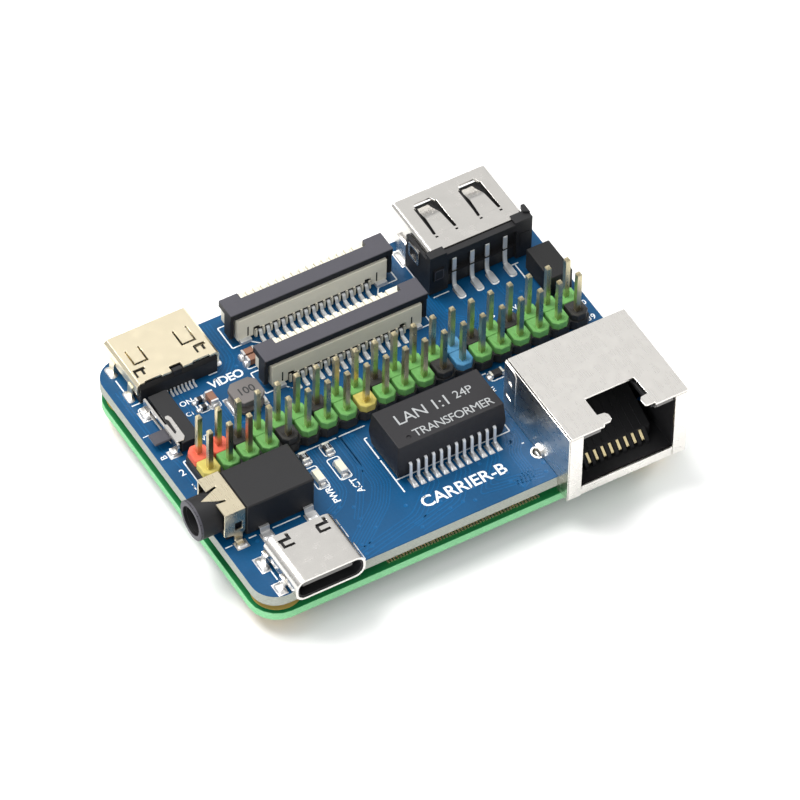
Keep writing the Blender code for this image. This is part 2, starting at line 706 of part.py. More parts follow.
def fan_connector(parent):
    """A small socket for a fan lead, open towards the right edge."""
    x0 = BOARD_X - 0.9 - FAN_W
    x1 = x0 + FAN_W
    y0 = HEADER_Y + 2 * PITCH + 0.76
    y1 = y0 + FAN_L
    body = chamfered(x0, x1, y0, y1, SEAT, FAN_TOP, 0.12)
    socket = block(x0 + 0.9, x1 + 1, y0 + 0.8, y1 - 0.8, SEAT + 0.6, FAN_TOP - 0.6)
    level = (SEAT + FAN_TOP) / 2
    pins = []
    for y in (y0 + 1.7, y0 + 2.7, y0 + 3.7):
        pins.append(block(x0 + 0.5, x1 - 0.7, y - 0.2, y + 0.2, level - 0.2, level + 0.2))
    obj = part("fan_connector", "black_plastic", body, parent, cut=[socket])
    combine(obj, [shifted(pin, parent) for pin in pins], "UNION")


def shifted(bm, parent):
    """Moves a shape into the place that an already parented piece has in the world."""
    bmesh.ops.translate(bm, verts=bm.verts[:], vec=parent.location)
    return bm


def chip(parent, name, look, centre, size, z0, height, edge=0.05):
    x, y = centre
    w, d = size
    bm = chamfered(x - w / 2, x + w / 2, y - d / 2, y + d / 2, z0, z0 + height, edge)
    part(name, look, bm, parent, datum=(x, y, z0))


def carrier_small_parts(parent):
    chip(parent, "power_inductor", "ferrite", (13.0, 27.0), (3.7, 3.4), SEAT, 1.8, 0.25)
    chip(parent, "chip_capacitor_1", "cap_brown", (16.7, 32.95), (1.6, 0.8), SEAT, 0.7)
    chip(parent, "chip_capacitor_2", "cap_brown", (16.7, 31.9), (1.6, 0.8), SEAT, 0.7)
    chip(parent, "chip_capacitor_3", "cap_brown", (9.7, 29.1), (0.9, 1.7), SEAT, 0.6)
    chip(parent, "chip_resistor_1", "chip_white", (8.4, 29.65), (1.0, 0.55), SEAT, 0.35)
    chip(parent, "chip_resistor_2", "chip_white", (8.3, 28.45), (1.0, 0.55), SEAT, 0.35)
    chip(parent, "power_led", "chip_white", (14.35, 12.9), (0.85, 1.8), SEAT, 0.6)
    chip(parent, "power_led_resistor", "chip_white", (14.4, 16.25), (0.85, 1.3), SEAT, 0.35)
    chip(parent, "activity_led", "chip_white", (17.25, 12.9), (0.85, 1.8), SEAT, 0.6)
    chip(parent, "activity_led_resistor", "chip_white", (17.4, 16.2), (0.85, 1.3), SEAT, 0.35)
    chip(parent, "chip_resistor_3", "chip_white", (39.8, 16.5), (1.6, 0.8), SEAT, 0.35)


def module_parts(parent):
    """The chips on the module's lower face. Heights run downwards from that face."""

    def below(name, look, centre, size, height, edge=0.06, gap=0.2):
        top = MODULE_BOTTOM - gap
        chip(parent, name, look, centre, size, top - height, height, edge)

    centre = (PROCESSOR_X, PROCESSOR_Y)
    side = PROCESSOR_SIDE
    below("processor_package", "module_mask", centre, (side, side), 0.75)
    lid_low = LID_FACE
    lid_high = MODULE_BOTTOM - 0.2 - 0.75 - 0.2
    lid = (LID_SIDE, LID_SIDE)
    chip(parent, "processor_lid", "lid_nickel", centre, lid, lid_low, lid_high - lid_low, 0.3)
    below("memory_chip", "black_epoxy", (46.0, 22.0), (10.0, 14.5), 0.85)
    below("storage_chip", "black_epoxy", (31.0, 32.6), (13.0, 9.5), 0.85)
    below("radio_shield", "bright_steel", (11.0, 27.5), (12.0, 12.0), 1.5, 0.2)
    below("power_manager_chip", "black_epoxy", (16.5, 9.0), (7.0, 7.0), 0.8)
    below("ethernet_chip", "black_epoxy", (45.5, 8.2), (7.0, 7.0), 0.8)
    below("crystal", "bright_steel", (38.0, 6.9), (3.2, 2.5), 0.7)
    below("module_inductor_1", "ferrite", (9.0, 12.5), (3.2, 3.2), 1.4, 0.2)
    below("module_inductor_2", "ferrite", (9.0, 7.9), (3.2, 3.2), 1.4, 0.2)
    below("module_inductor_3", "ferrite", (23.5, 6.6), (3.2, 2.6), 1.3, 0.2)
    socket = prism(circle(9.0, 36.6, 2.0, 16), "Z", MODULE_BOTTOM - 1.25, MODULE_BOTTOM - 0.35)
    foot = block(7.7, 10.3, 35.3, 37.9, MODULE_BOTTOM - 0.45, MODULE_BOTTOM - 0.2)
    part("antenna_socket", "contact_gold", foot, parent, add=[socket])


def main():
    for obj in list(bpy.data.objects):
        bpy.data.objects.remove(obj, do_unlink=True)
    carrier = frame_empty("carrier_frame")
    module = frame_empty("module_frame")
    carrier_board(carrier)
    module_board(module)
    board_links(module)
    pin_header(carrier)
    network_jack(carrier)
    usb_a_port(carrier)
    usb_c_port(carrier)
    video_port(carrier)
    flat_cable_connector(carrier, "rear", FPC_REAR_Y)
    flat_cable_connector(carrier, "front", FPC_FRONT_Y)
    slide_switch(carrier)
    audio_jack(carrier)
    lan_transformer(carrier)
    fan_connector(carrier)
    carrier_small_parts(carrier)
    module_parts(module)


main()
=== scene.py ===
"""A single board computer: its pieces, finishes, floor, lights and camera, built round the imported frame."""

import json
import math
import random

import bmesh
import bpy
from mathutils import Matrix, Vector

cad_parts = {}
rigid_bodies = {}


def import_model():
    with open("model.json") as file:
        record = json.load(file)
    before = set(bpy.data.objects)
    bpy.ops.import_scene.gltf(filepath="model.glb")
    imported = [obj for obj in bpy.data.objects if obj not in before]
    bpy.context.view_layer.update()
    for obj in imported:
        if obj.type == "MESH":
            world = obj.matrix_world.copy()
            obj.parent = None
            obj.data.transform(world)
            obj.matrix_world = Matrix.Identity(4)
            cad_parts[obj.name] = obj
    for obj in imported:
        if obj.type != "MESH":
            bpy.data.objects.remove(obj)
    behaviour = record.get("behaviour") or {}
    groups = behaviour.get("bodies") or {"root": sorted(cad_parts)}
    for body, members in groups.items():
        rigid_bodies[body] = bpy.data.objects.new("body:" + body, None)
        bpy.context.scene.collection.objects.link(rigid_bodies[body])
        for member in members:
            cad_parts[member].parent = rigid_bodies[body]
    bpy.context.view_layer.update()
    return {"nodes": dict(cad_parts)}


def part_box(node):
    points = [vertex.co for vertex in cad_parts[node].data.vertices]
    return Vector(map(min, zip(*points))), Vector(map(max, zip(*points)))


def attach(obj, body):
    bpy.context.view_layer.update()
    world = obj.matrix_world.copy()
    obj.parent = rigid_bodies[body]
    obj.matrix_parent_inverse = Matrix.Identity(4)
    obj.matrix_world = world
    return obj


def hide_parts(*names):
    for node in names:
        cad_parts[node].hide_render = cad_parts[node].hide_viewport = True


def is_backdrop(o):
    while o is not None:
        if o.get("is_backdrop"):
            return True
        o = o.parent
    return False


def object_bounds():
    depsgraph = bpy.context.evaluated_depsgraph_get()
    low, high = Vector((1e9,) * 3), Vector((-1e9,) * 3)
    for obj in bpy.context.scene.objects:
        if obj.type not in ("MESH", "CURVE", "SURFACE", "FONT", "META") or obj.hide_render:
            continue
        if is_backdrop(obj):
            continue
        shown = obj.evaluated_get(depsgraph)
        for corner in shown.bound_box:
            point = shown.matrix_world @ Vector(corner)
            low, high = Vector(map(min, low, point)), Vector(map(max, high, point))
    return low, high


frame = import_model()

bl_info = {
    "name": "Single board computer",
    "version": (1, 0, 0),
    "blender": (4, 5, 0),
    "location": "View3D > Sidebar > Board",
    "description": "Builds the boards, ports, header and chips of a small single board computer",
    "category": "Object",
}

MM = 0.001
CARRIER_LOW, CARRIER_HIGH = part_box("carrier_board")
# the carrier board's front left corner, on its top face
ORIGIN = Vector((CARRIER_LOW.x, CARRIER_LOW.y, CARRIER_HIGH.z))
# lengths in millimetres
INK_THICK = 0.02
PAD_THICK = 0.04
MERGE = 0.0005  # points nearer than this are one point
FLAT_ANGLE = 0.01  # faces that meet at less than this angle, in radians, are one face
CORNER_RADIUS = 3.0
HOLE_INSET = 3.5  # from the lower board's edges to the middle of a corner hole
JACK_FOOT_Y = 4.15  # where the network jack's feet go through the upper board
BARREL_Z = 2.75  # height of the audio jack's bore
WAVE_SCALE = 0.314  # scale of the wave texture that gives one stripe to the millimetre


def rgb(red, green, blue):
    """A display colour, 0 to 255, as the linear colour that shaders take."""
    return tuple(((c / 255 + 0.055) / 1.055) ** 2.4 if c > 10 else c / 255 / 12.92 for c in (red, green, blue))


def span(node):
    """Lowest and highest corner of a CAD node, in millimetres from the board's corner."""
    low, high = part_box(node)
    return (low - ORIGIN) / MM, (high - ORIGIN) / MM


# ---------------------------------------------------------------- outlines and solids


def rounded(x0, x1, y0, y1, radius, steps=5):
    """A rectangle's outline with round corners; one step makes them chamfers."""
    corners = (
        (x1 - radius, y0 + radius, -90), (x1 - radius, y1 - radius, 0), (x0 + radius, y1 - radius, 90),
        (x0 + radius, y0 + radius, 180)
    )
    points = []
    for cx, cy, start in corners:
        for i in range(steps + 1):
            a = math.radians(start + 90 * i / steps)
            points.append((cx + radius * math.cos(a), cy + radius * math.sin(a)))
    return points


def rectangle(x0, x1, y0, y1):
    """A rectangle's outline."""
    return [(x0, y0), (x1, y0), (x1, y1), (x0, y1)]


def disc(x, y, radius, steps=24):
    """A circle's outline."""
    turn = [2 * math.pi * i / steps for i in range(steps)]
    return [(x + radius * math.cos(a), y + radius * math.sin(a)) for a in turn]


def offset_line(points, distance, closed=False):
    """A line moved sideways by a distance, with mitred corners."""
    count = len(points)
    moved = []
    for i in range(count):
        here = Vector(points[i])
        before = Vector(points[i - 1]) if i or closed else None
        after = Vector(points[(i + 1) % count]) if i < count - 1 or closed else None
        sides = []
        for a, b in ((before, here), (here, after)):
            if a is not None and b is not None:
                run = (b - a).normalized()
                sides.append(Vector((-run.y, run.x)))
        lean = sum(sides, Vector((0, 0)))
        lean = lean.normalized() if lean.length > 1e-6 else sides[0]
        moved.append(tuple(here + lean * (distance / max(0.35, lean.dot(sides[0])))))
    return moved


def eased(points, radius, steps=4):
    """An open line with its corners rounded."""
    out = [points[0]]
    for a, b, c in zip(points, points[1:], points[2:]):
        a, b, c = Vector(a), Vector(b), Vector(c)
        reach = min(radius, (a - b).length * 0.45, (c - b).length * 0.45)
        start, end = b + (a - b).normalized() * reach, b + (c - b).normalized() * reach
        for i in range(steps + 1):
            t = i / steps
            out.append(tuple(start * (1 - t) ** 2 + b * 2 * t * (1 - t) + end * t * t))
    return out + [points[-1]]


def lift(outline, axis, level):
    """Outline points in space: an X outline is (y, z), a Y outline (x, z) and a Z outline (x, y)."""
    if axis == "X":
        return [(level, u, v) for u, v in outline]
    if axis == "Y":
        return [(u, level, v) for u, v in outline]
    return [(u, v, level) for u, v in outline]


class Solid:
    """Geometry being built, in millimetres from the board's corner."""

    def __init__(self, node=None):
        self.bm = bmesh.new()
        if node:
            self.bm.from_mesh(frame["nodes"][node].data)
            for v in self.bm.verts:
                v.co = (v.co - ORIGIN) / MM
            bmesh.ops.remove_doubles(self.bm, verts=self.bm.verts, dist=MERGE)
            bmesh.ops.dissolve_limit(self.bm, angle_limit=FLAT_ANGLE, verts=self.bm.verts, edges=self.bm.edges)
            for f in self.bm.faces:
                f.material_index = 0

    def loft(self, rings, finish=0, closed=False):
        """Join rings of equal count with quads and cap the ends, or join the last ring to the first."""
        made = [[self.bm.verts.new(p) for p in ring] for ring in rings]
        pairs = list(zip(made, made[1:])) + ([(made[-1], made[0])] if closed else [])
        count = len(made[0])
        faces = []
        for a, b in pairs:
            faces += [
                self.bm.faces.new((a[i], a[(i + 1) % count], b[(i + 1) % count], b[i])) for i in range(count)
            ]
        if not closed:
            faces += [self.bm.faces.new(made[0][::-1]), self.bm.faces.new(made[-1])]
        for f in faces:
            f.material_index = finish
        return self

    def prism(self, outline, axis, low, high, finish=0):
        """Push an outline out along an axis."""
        return self.loft([lift(outline, axis, low), lift(outline, axis, high)], finish)

    def block(self, x0, x1, y0, y1, z0, z1, finish=0):
        """A box between two corners."""
        return self.prism(rectangle(x0, x1, y0, y1), "Z", z0, z1, finish)

    def turned(self, profile, axis, u, v, steps=28, closed=False):
        """Turn (level, radius) pairs about a line along an axis through (u, v)."""
        return self.loft([lift(disc(u, v, r, steps), axis, level) for level, r in profile], closed=closed)

    def strip(self, points, thick, axis, low, high, closed=False):
        """A bent sheet: a line in a plane given a thickness, pushed out along an axis."""
        left, right = offset_line(points, thick / 2, closed), offset_line(points, -thick / 2, closed)
        if closed:
            rings = [
                lift(left, axis, low), lift(left, axis, high), lift(right, axis, high), lift(right, axis, low)
            ]
            return self.loft(rings, closed=True)
        return self.prism(left + right[::-1], axis, low, high)

    def mound(self, x, y, wide, deep, height, finish=0, level=0.0):
        """A heap of solder with a soft top."""
        shape = ((1.0, 0.0), (0.97, 0.25), (0.82, 0.62), (0.55, 0.9), (0.25, 1.0))
        rings = []
        for reach, rise in shape:
            outline = rounded(
                -wide * reach, wide * reach, -deep * reach, deep * reach, min(wide, deep) * reach * 0.8, 3
            )
            rings.append([(x + u, y + v, level + rise * height) for u, v in outline])
        return self.loft(rings, finish)

    def words(
        self, text, x, y, size, turn=0, z=0.0, thick=INK_THICK, weight=0.0, finish=0, under=False, middle=False,
        spacing=1.0
    ):
        """Flat lettering on a level face; under turns it to be read from below."""
        curve = bpy.data.curves.new("lettering", "FONT")
        curve.body, curve.size, curve.offset, curve.extrude = text, size, weight, thick / 2
        curve.space_character, curve.resolution_u = spacing, 3
        curve.align_x = "CENTER" if middle else "LEFT"
        holder = bpy.data.objects.new("lettering", curve)
        mesh = bpy.data.meshes.new_from_object(holder)
        side = Matrix.Diagonal((-1, 1, 1, 1)) if under else Matrix.Identity(4)
        place = Matrix.Translation((x, y, z)) @ Matrix.Rotation(math.radians(turn), 4, "Z") @ side
        letters = bmesh.new()
        letters.from_mesh(mesh)
        bmesh.ops.remove_doubles(letters, verts=letters.verts, dist=MERGE)
        letters.transform(place)
        for f in letters.faces:
            f.material_index = finish
        letters.to_mesh(mesh)
        self.bm.from_mesh(mesh)
        letters.free()
        bpy.data.objects.remove(holder)
        bpy.data.curves.remove(curve)
        bpy.data.meshes.remove(mesh)
        return self

    def mesh(self, name="solid"):
        """The geometry as a mesh in metres, in the frame's place."""
        bmesh.ops.recalc_face_normals(self.bm, faces=self.bm.faces)
        mesh = bpy.data.meshes.new(name)
        for v in self.bm.verts:
            v.co = ORIGIN + v.co * MM
        self.bm.to_mesh(mesh)
        for v in self.bm.verts:
            v.co = (v.co - ORIGIN) / MM
        return mesh

    def add(self, other):
        """Put another solid's geometry beside this one's."""
        mesh = bpy.data.meshes.new("solid")
        other.bm.to_mesh(mesh)
        self.bm.from_mesh(mesh)
        bpy.data.meshes.remove(mesh)
        return self

    def cut(self, tool):
        """Cut another solid out of this one with a Boolean modifier."""
        base, cutter = (bpy.data.objects.new("solid", part.mesh()) for part in (self, tool))
        for o in (base, cutter):
            for _ in range(8):
                o.data.materials.append(None)
            bpy.context.scene.collection.objects.link(o)
        knife = base.modifiers.new("knife", "BOOLEAN")
        knife.operation, knife.solver, knife.object = "DIFFERENCE", "EXACT", cutter
        bpy.context.view_layer.update()
        shaped = bpy.data.meshes.new_from_object(base.evaluated_get(bpy.context.evaluated_depsgraph_get()))
        self.bm.clear()
        self.bm.from_mesh(shaped)
        for v in self.bm.verts:
            v.co = (v.co - ORIGIN) / MM
        bmesh.ops.remove_doubles(self.bm, verts=self.bm.verts, dist=MERGE)
        bmesh.ops.dissolve_limit(
            self.bm, angle_limit=FLAT_ANGLE, verts=self.bm.verts, edges=self.bm.edges, delimit={"MATERIAL"}
        )
        for o in (base, cutter):
            bpy.data.objects.remove(o)
        return self

    def soften(self, width, segments=1, angle=28):
        """Bevel the edges sharper than an angle."""
        self.bm.normal_update()
        limit = math.radians(angle)
        edges = [e for e in self.bm.edges if len(e.link_faces) == 2 and e.calc_face_angle(0) > limit]
        bmesh.ops.bevel(
            self.bm, geom=edges, offset=width, segments=segments, affect="EDGES", profile=0.5,
            clamp_overlap=True
        )
        return self

    def paint(self, finish, test):
        """Give a finish to the faces whose middle and normal pass a test."""
        bmesh.ops.recalc_face_normals(self.bm, faces=self.bm.faces)
        self.bm.normal_update()
        for f in self.bm.faces:
            if test(f.calc_center_median(), f.normal):
                f.material_index = finish
        return self


def even_normals(mesh):
    """Give the large faces the say over the normals they share with narrow ones."""
    holder = bpy.data.objects.new("solid", mesh)
    bpy.context.scene.collection.objects.link(holder)
    weigh = holder.modifiers.new("normals", "WEIGHTED_NORMAL")
    weigh.mode, weigh.weight, weigh.keep_sharp = "FACE_AREA", 80, True
    bpy.context.view_layer.update()
    evened = bpy.data.meshes.new_from_object(holder.evaluated_get(bpy.context.evaluated_depsgraph_get()))
    bpy.data.objects.remove(holder)
    bpy.data.meshes.remove(mesh)
    return evened


def piece(name, solid, finishes, body="computer", stands_for=(), edge=0.0, smooth=32):
    """Make a named object of a solid, give it its finishes and let it ride on its body."""
    if edge:
        solid.soften(edge)
    mesh = solid.mesh(name)
    mesh.polygons.foreach_set("use_smooth", [True] * len(mesh.polygons))
    mesh.set_sharp_from_angle(angle=math.radians(smooth))
    mesh = even_normals(mesh)
    for finish in [finishes] if isinstance(finishes, str) else finishes:
        mesh.materials.append(use(finish))
    made = bpy.data.objects.new(name, mesh)
    bpy.context.scene.collection.objects.link(made)
    solid.bm.free()
    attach(made, body)
    if stands_for:
        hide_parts(*([stands_for] if isinstance(stands_for, str) else stands_for))
    return made


# ---------------------------------------------------------------- shaders


class Wire:
    """A shader socket that arithmetic can be written on."""

    def __init__(self, look, socket):
        self.look, self.socket = look, socket

    def _math(self, operation, first, second):
        return self.look.add("ShaderNodeMath", {"operation": operation}, {0: first, 1: second})

    def __add__(self, other):
        return self._math("ADD", self, other)

    def __sub__(self, other):
        return self._math("SUBTRACT", self, other)

    def __rsub__(self, other):
        return self._math("SUBTRACT", other, self)

    def __mul__(self, other):
        return self._math("MULTIPLY", self, other)

    def __gt__(self, other):
        return self._math("GREATER_THAN", self, other)

    def __lt__(self, other):
        return self._math("LESS_THAN", self, other)

    __radd__ = __add__
    __rmul__ = __mul__


class Look:
    """A finish: one material whose shader is written in Python."""

    def __init__(self, name):
        self.material = bpy.data.materials.new(name)
        self.material.use_nodes = True
        self.tree = self.material.node_tree
        self.tree.nodes.clear()
        self.surface = self.tree.nodes.new("ShaderNodeBsdfPrincipled")
        end = self.tree.nodes.new("ShaderNodeOutputMaterial")
        self.tree.links.new(self.surface.outputs[0], end.inputs["Surface"])
        here = self.add("ShaderNodeTexCoord", take="Object")
        self.place = self.add("ShaderNodeVectorMath", {"operation": "SCALE"}, {0: here, "Scale": 1 / MM})

    def feed(self, socket, value):
        """Link a wire to a socket, or set the socket's value."""
        if isinstance(value, Wire):
            self.tree.links.new(value.socket, socket)
        elif socket.type == "RGBA":
            socket.default_value = (*value[:3], 1)
        else:
            socket.default_value = value

    def add(self, kind, settings=None, feeds=None, take=0):
        """Add a node: its settings first, then its sockets; gives one output back."""
        node = self.tree.nodes.new(kind)
        for key, value in (settings or {}).items():
            if key == "stops":
                ramp = node.color_ramp.elements
                while len(ramp) < len(value):
                    ramp.new(1)
                for stop, (at, level) in zip(ramp, value):
                    stop.position, stop.color = at, (level, level, level, 1)
            else:
                setattr(node, key, value)
        for key, value in (feeds or {}).items():
            self.feed(node.inputs[key], value)
        return Wire(self, node.outputs[take])

    def stretched(self, x, y, z):
        """The place in millimetres, scaled along each axis."""
        return self.add("ShaderNodeVectorMath", {"operation": "MULTIPLY"}, {0: self.place, 1: (x, y, z)})

    def noise(self, per_mm, detail=2, place=None):
        """Cloudy noise with so many features to the millimetre."""
        return self.add(
            "ShaderNodeTexNoise", {}, {"Vector": place or self.place, "Scale": per_mm, "Detail": detail}
        )

    def cells(self, per_mm):
        """Distance to the nearest of scattered points."""
        return self.add("ShaderNodeTexVoronoi", {}, {"Vector": self.place, "Scale": per_mm}, "Distance")

    def bands(self, direction, pitch, distortion):
        """Soft stripes across an axis, one in each pitch of millimetres."""
        settings = {"wave_type": "BANDS", "bands_direction": direction}
        feeds = {"Vector": self.place, "Scale": WAVE_SCALE / pitch, "Distortion": distortion}
        return self.add("ShaderNodeTexWave", settings, feeds, "Fac")

    def ramp(self, factor, *stops):
        """Read a value off a curve of (place, level) stops."""
        return self.add("ShaderNodeValToRGB", {"stops": stops}, {"Fac": factor})

    def mix(self, factor, first, second):
        """Mix two colours."""
        return self.add("ShaderNodeMix", {"data_type": "RGBA"}, {0: factor, 6: first, 7: second}, 2)

    def bump(self, height, depth, strength):
        """A normal from a height; depth in millimetres."""
        return self.add("ShaderNodeBump", {}, {"Height": height, "Distance": depth * MM, "Strength": strength})

    def done(self, **sockets):
        """Set the surface's sockets by name, with _ for a space."""
        for key, value in sockets.items():
            self.feed(self.surface.inputs[key.replace("_", " ")], value)
        self.material.diffuse_color = (*self.surface.inputs["Base Color"].default_value[:3], 1)
        return self.material


def shade(colour, factor):
    """A colour made lighter or darker by a factor."""
    return tuple(min(1.0, c * factor) for c in colour)


def solder_mask(name, colour, gloss=0.32):
    """Glossy board lacquer over copper areas and glass weave."""
    look = Look(name)
    pours = look.ramp(look.noise(0.16, 1), (0.44, 0), (0.56, 1))
    mottle = look.noise(1.1, 3)
    weave = look.bands("X", 0.55, 0.6) * look.bands("Y", 0.55, 0.6)
    tone = look.mix(pours * 0.45, colour, shade(colour, 0.78))
    tone = look.mix(mottle * 0.35, tone, shade(colour, 1.28))
    tone = look.mix(weave * 0.1, tone, shade(colour, 1.5))
    relief = look.bump(weave * 0.5 + mottle * 0.4 + pours * 0.25, 0.02, 0.35)
    return look.done(
        Base_Color=tone, Roughness=gloss + 0.12 * look.noise(2.5, 2), Normal=relief, Specular_IOR_Level=0.3
    )


def laminate(name, colour, resin):
    """The sawn edge of a board: thin layers of glass cloth in resin."""
    look = Look(name)
    layers = look.bands("Z", 0.27, 1.2)
    fibres = look.noise(3.0, 4, look.stretched(1, 1, 7))
    tone = look.mix(layers * 0.55, colour, resin)
    tone = look.mix(look.ramp(fibres, (0.42, 0), (0.68, 1)) * 0.6, tone, shade(colour, 1.45))
    return look.done(
        Base_Color=tone, Roughness=0.5 + 0.3 * fibres, Normal=look.bump(fibres * 0.7 + layers * 0.3, 0.04, 0.6)
    )


def moulded(name, colour, rough=0.42, grain=0.5):
    """Moulded plastic with a fine spark-eroded grain and faint flow marks."""
    look = Look(name)
    flow = look.noise(0.5, 2, look.stretched(1, 1, 2.5))
    fine = look.noise(9, 3)
    specks = look.ramp(look.cells(6), (0.0, 1), (0.22, 0))
    tone = look.mix(flow * 0.6, shade(colour, 1 / 1.12), shade(colour, 1.12))
    tone = look.mix(specks * 0.25, tone, shade(colour, 1.35))
    return look.done(
        Base_Color=tone, Roughness=rough + 0.16 * fine, Normal=look.bump(fine + 0.4 * flow, 0.015, grain),
        Specular_IOR_Level=0.35
    )


def sheet_metal(name, colour, rough=0.2, stain=0.85, lines="X", tarnish=0.3, depth=0.004, metal=1.0):
    """Plated sheet with faint rolling lines, a little orange peel and handling marks."""
    look = Look(name)
    along = {"X": (0.25, 4, 4), "Y": (4, 0.25, 4), "Z": (4, 4, 0.25)}[lines]
    rolled = look.noise(1.6, 3, look.stretched(*along))
    patches = look.ramp(look.noise(0.55, 3), (0.35, 0), (0.75, 1))
    scuffs = look.ramp(look.noise(0.9, 4), (0.5, 0), (0.8, 1))
    tone = look.mix(patches * tarnish, colour, shade(colour, stain))
    tone = look.mix(scuffs * 0.12, tone, shade(colour, 0.9))
    worn = rough + 0.08 * rolled + 0.06 * scuffs
    return look.done(
        Base_Color=tone, Metallic=metal, Roughness=worn,
        Normal=look.bump(rolled * 0.5 + patches * 0.35, depth, 0.35)
    )


def solder_metal(name, colour):
    """Reflowed solder, smooth and a little lumpy."""
    look = Look(name)
    lumps = look.noise(2.2, 2)
    grains = look.noise(11, 2)
    tone = look.mix(lumps, shade(colour, 0.82), colour)
    return look.done(
        Base_Color=tone, Metallic=1.0, Roughness=0.16 + 0.22 * grains,
        Normal=look.bump(lumps + 0.15 * grains, 0.12, 0.8)
    )


def dusty(name, colour, rough=0.6, fleck=1.6, scale=7, depth=0.03):
    """Pressed powder, moulding compound or ceramic: fine flecks and a matt face."""
    look = Look(name)
    flecks = look.ramp(look.cells(scale), (0.05, 1), (0.3, 0))
    cloud = look.noise(1.2, 3)
    tone = look.mix(cloud * 0.5, colour, shade(colour, 1.2))
    tone = look.mix(flecks * 0.35, tone, shade(colour, fleck))
    return look.done(
        Base_Color=tone, Roughness=rough + 0.2 * cloud,
        Normal=look.bump(look.noise(scale * 1.4, 3), depth, 0.5), Specular_IOR_Level=0.35
    )


def printed(name, colour):
    """Screen printed ink, a touch uneven at its edges."""
    look = Look(name)
    blotch = look.noise(3.2, 3)
    tone = look.mix(look.ramp(blotch, (0.3, 0), (0.75, 1)) * 0.35, colour, shade(colour, 0.72))
    return look.done(Base_Color=tone, Roughness=0.55 + 0.2 * blotch, Normal=look.bump(blotch, 0.01, 0.4))


def lens(name, colour):
    """The clear cap of a small light."""
    look = Look(name)
    swirl = look.noise(2.5, 2)
    tone = look.mix(swirl * 0.6, colour, shade(colour, 0.75))
    return look.done(
        Base_Color=tone, Roughness=0.15 + 0.15 * swirl, Coat_Weight=0.6, Coat_Roughness=0.08,
        Normal=look.bump(swirl, 0.02, 0.3)
    )


def use(name):
    """The finish of this name, made the first time that it is asked for."""
    return bpy.data.materials.get(name) or make_finish(name)


def make_finish(name):
    """Make one finish from the colours in the panel."""
    look = bpy.context.scene.single_board
    boards, cells, metals, plastics = look.boards, look.header, look.metals, look.plastics
    makers = {
        "carrier mask": lambda: solder_mask(name, boards.carrier_colour),
        "carrier track": lambda: solder_mask(name, shade(boards.carrier_colour, 1.35), 0.28),
        "module mask": lambda: solder_mask(name, boards.module_colour),
        "module track": lambda: solder_mask(name, shade(boards.module_colour, 1.4), 0.28),
        "carrier edge": lambda: laminate(name, boards.carrier_edge, shade(boards.carrier_edge, 0.55)),
        "module edge": lambda: laminate(name, boards.module_edge, shade(boards.module_edge, 0.72)),
        "board ink": lambda: printed(name, boards.ink_colour),
        "package ink": lambda: printed(name, shade(boards.ink_colour, 0.42)),
        "dark ink": lambda: printed(name, rgb(44, 44, 46)),
        "black plastic": lambda: moulded(name, plastics.black),
        "slider plastic": lambda: moulded(name, plastics.slider, 0.38),
        "socket black": lambda: moulded(name, shade(plastics.black, 0.45), 0.5),
        "housing plastic": lambda: moulded(name, plastics.housing, 0.45),
        "tongue plastic": lambda: moulded(name, rgb(120, 118, 116), 0.4),
        "header green": lambda: moulded(name, cells.green, 0.38),
        "header red": lambda: moulded(name, cells.red, 0.38),
        "header yellow": lambda: moulded(name, cells.yellow, 0.38),
        "header blue": lambda: moulded(name, cells.blue, 0.38),
        "header black": lambda: moulded(name, cells.black, 0.4),
        "steel": lambda: sheet_metal(name, metals.steel),
        "jack steel": lambda: sheet_metal(name, shade(metals.steel, 1.06), 0.24, 0.92, "Y"),
        "gold shell": lambda: sheet_metal(name, metals.gold, 0.26, 0.9),
        "clip gold": lambda: sheet_metal(name, shade(metals.gold, 0.82), 0.24, 0.82, "Y"),
        "pin gold": lambda: sheet_metal(name, metals.pin, 0.24, 0.7, "Z", 0.6, 0.012),
        "contact gold": lambda: sheet_metal(name, rgb(246, 228, 178), 0.22, 0.85, "Y", metal=0.8),
        "ring gold": lambda: sheet_metal(name, rgb(240, 200, 104), 0.4, 0.85, metal=0.25),
        "tin": lambda: solder_metal(name, metals.tin),
        "lead tin": lambda: sheet_metal(name, metals.tin, 0.34, 0.85, "Z", metal=0.6),
        "epoxy": lambda: dusty(name, plastics.epoxy, 0.46, 1.5, 8, 0.012),
        "ferrite": lambda: dusty(name, rgb(74, 77, 75), 0.55, 1.5, 6, 0.04),
        "capacitor brown": lambda: dusty(name, rgb(126, 90, 72), 0.4, 1.3, 8, 0.02),
        "resistor black": lambda: dusty(name, rgb(36, 36, 40), 0.35, 1.4, 8, 0.01),
        "chip white": lambda: dusty(name, rgb(222, 222, 216), 0.5, 1.1, 8, 0.02),
        "light lens": lambda: lens(name, rgb(236, 232, 206)),
        "lid nickel": lambda: sheet_metal(name, rgb(178, 180, 184), 0.34, 0.88),
        # near-black moulding: the real dark plastic of the port inserts, also laid as sleeves and strips in the
        # port openings as painted shade
        "inside dark": lambda: moulded(name, rgb(22, 22, 24), 0.6, 0.3),
    }
    return makers[name]()


# ---------------------------------------------------------------- settings


def colour(label, about, value):
    """A colour setting."""
    return bpy.props.FloatVectorProperty(
        name=label, description=about, subtype="COLOR", size=3, min=0, max=1, default=value
    )


def length(label, about, value):
    """A length setting, its default given in millimetres."""
    return bpy.props.FloatProperty(
        name=label, description=about, unit="LENGTH", precision=5, min=0, default=value * MM
    )


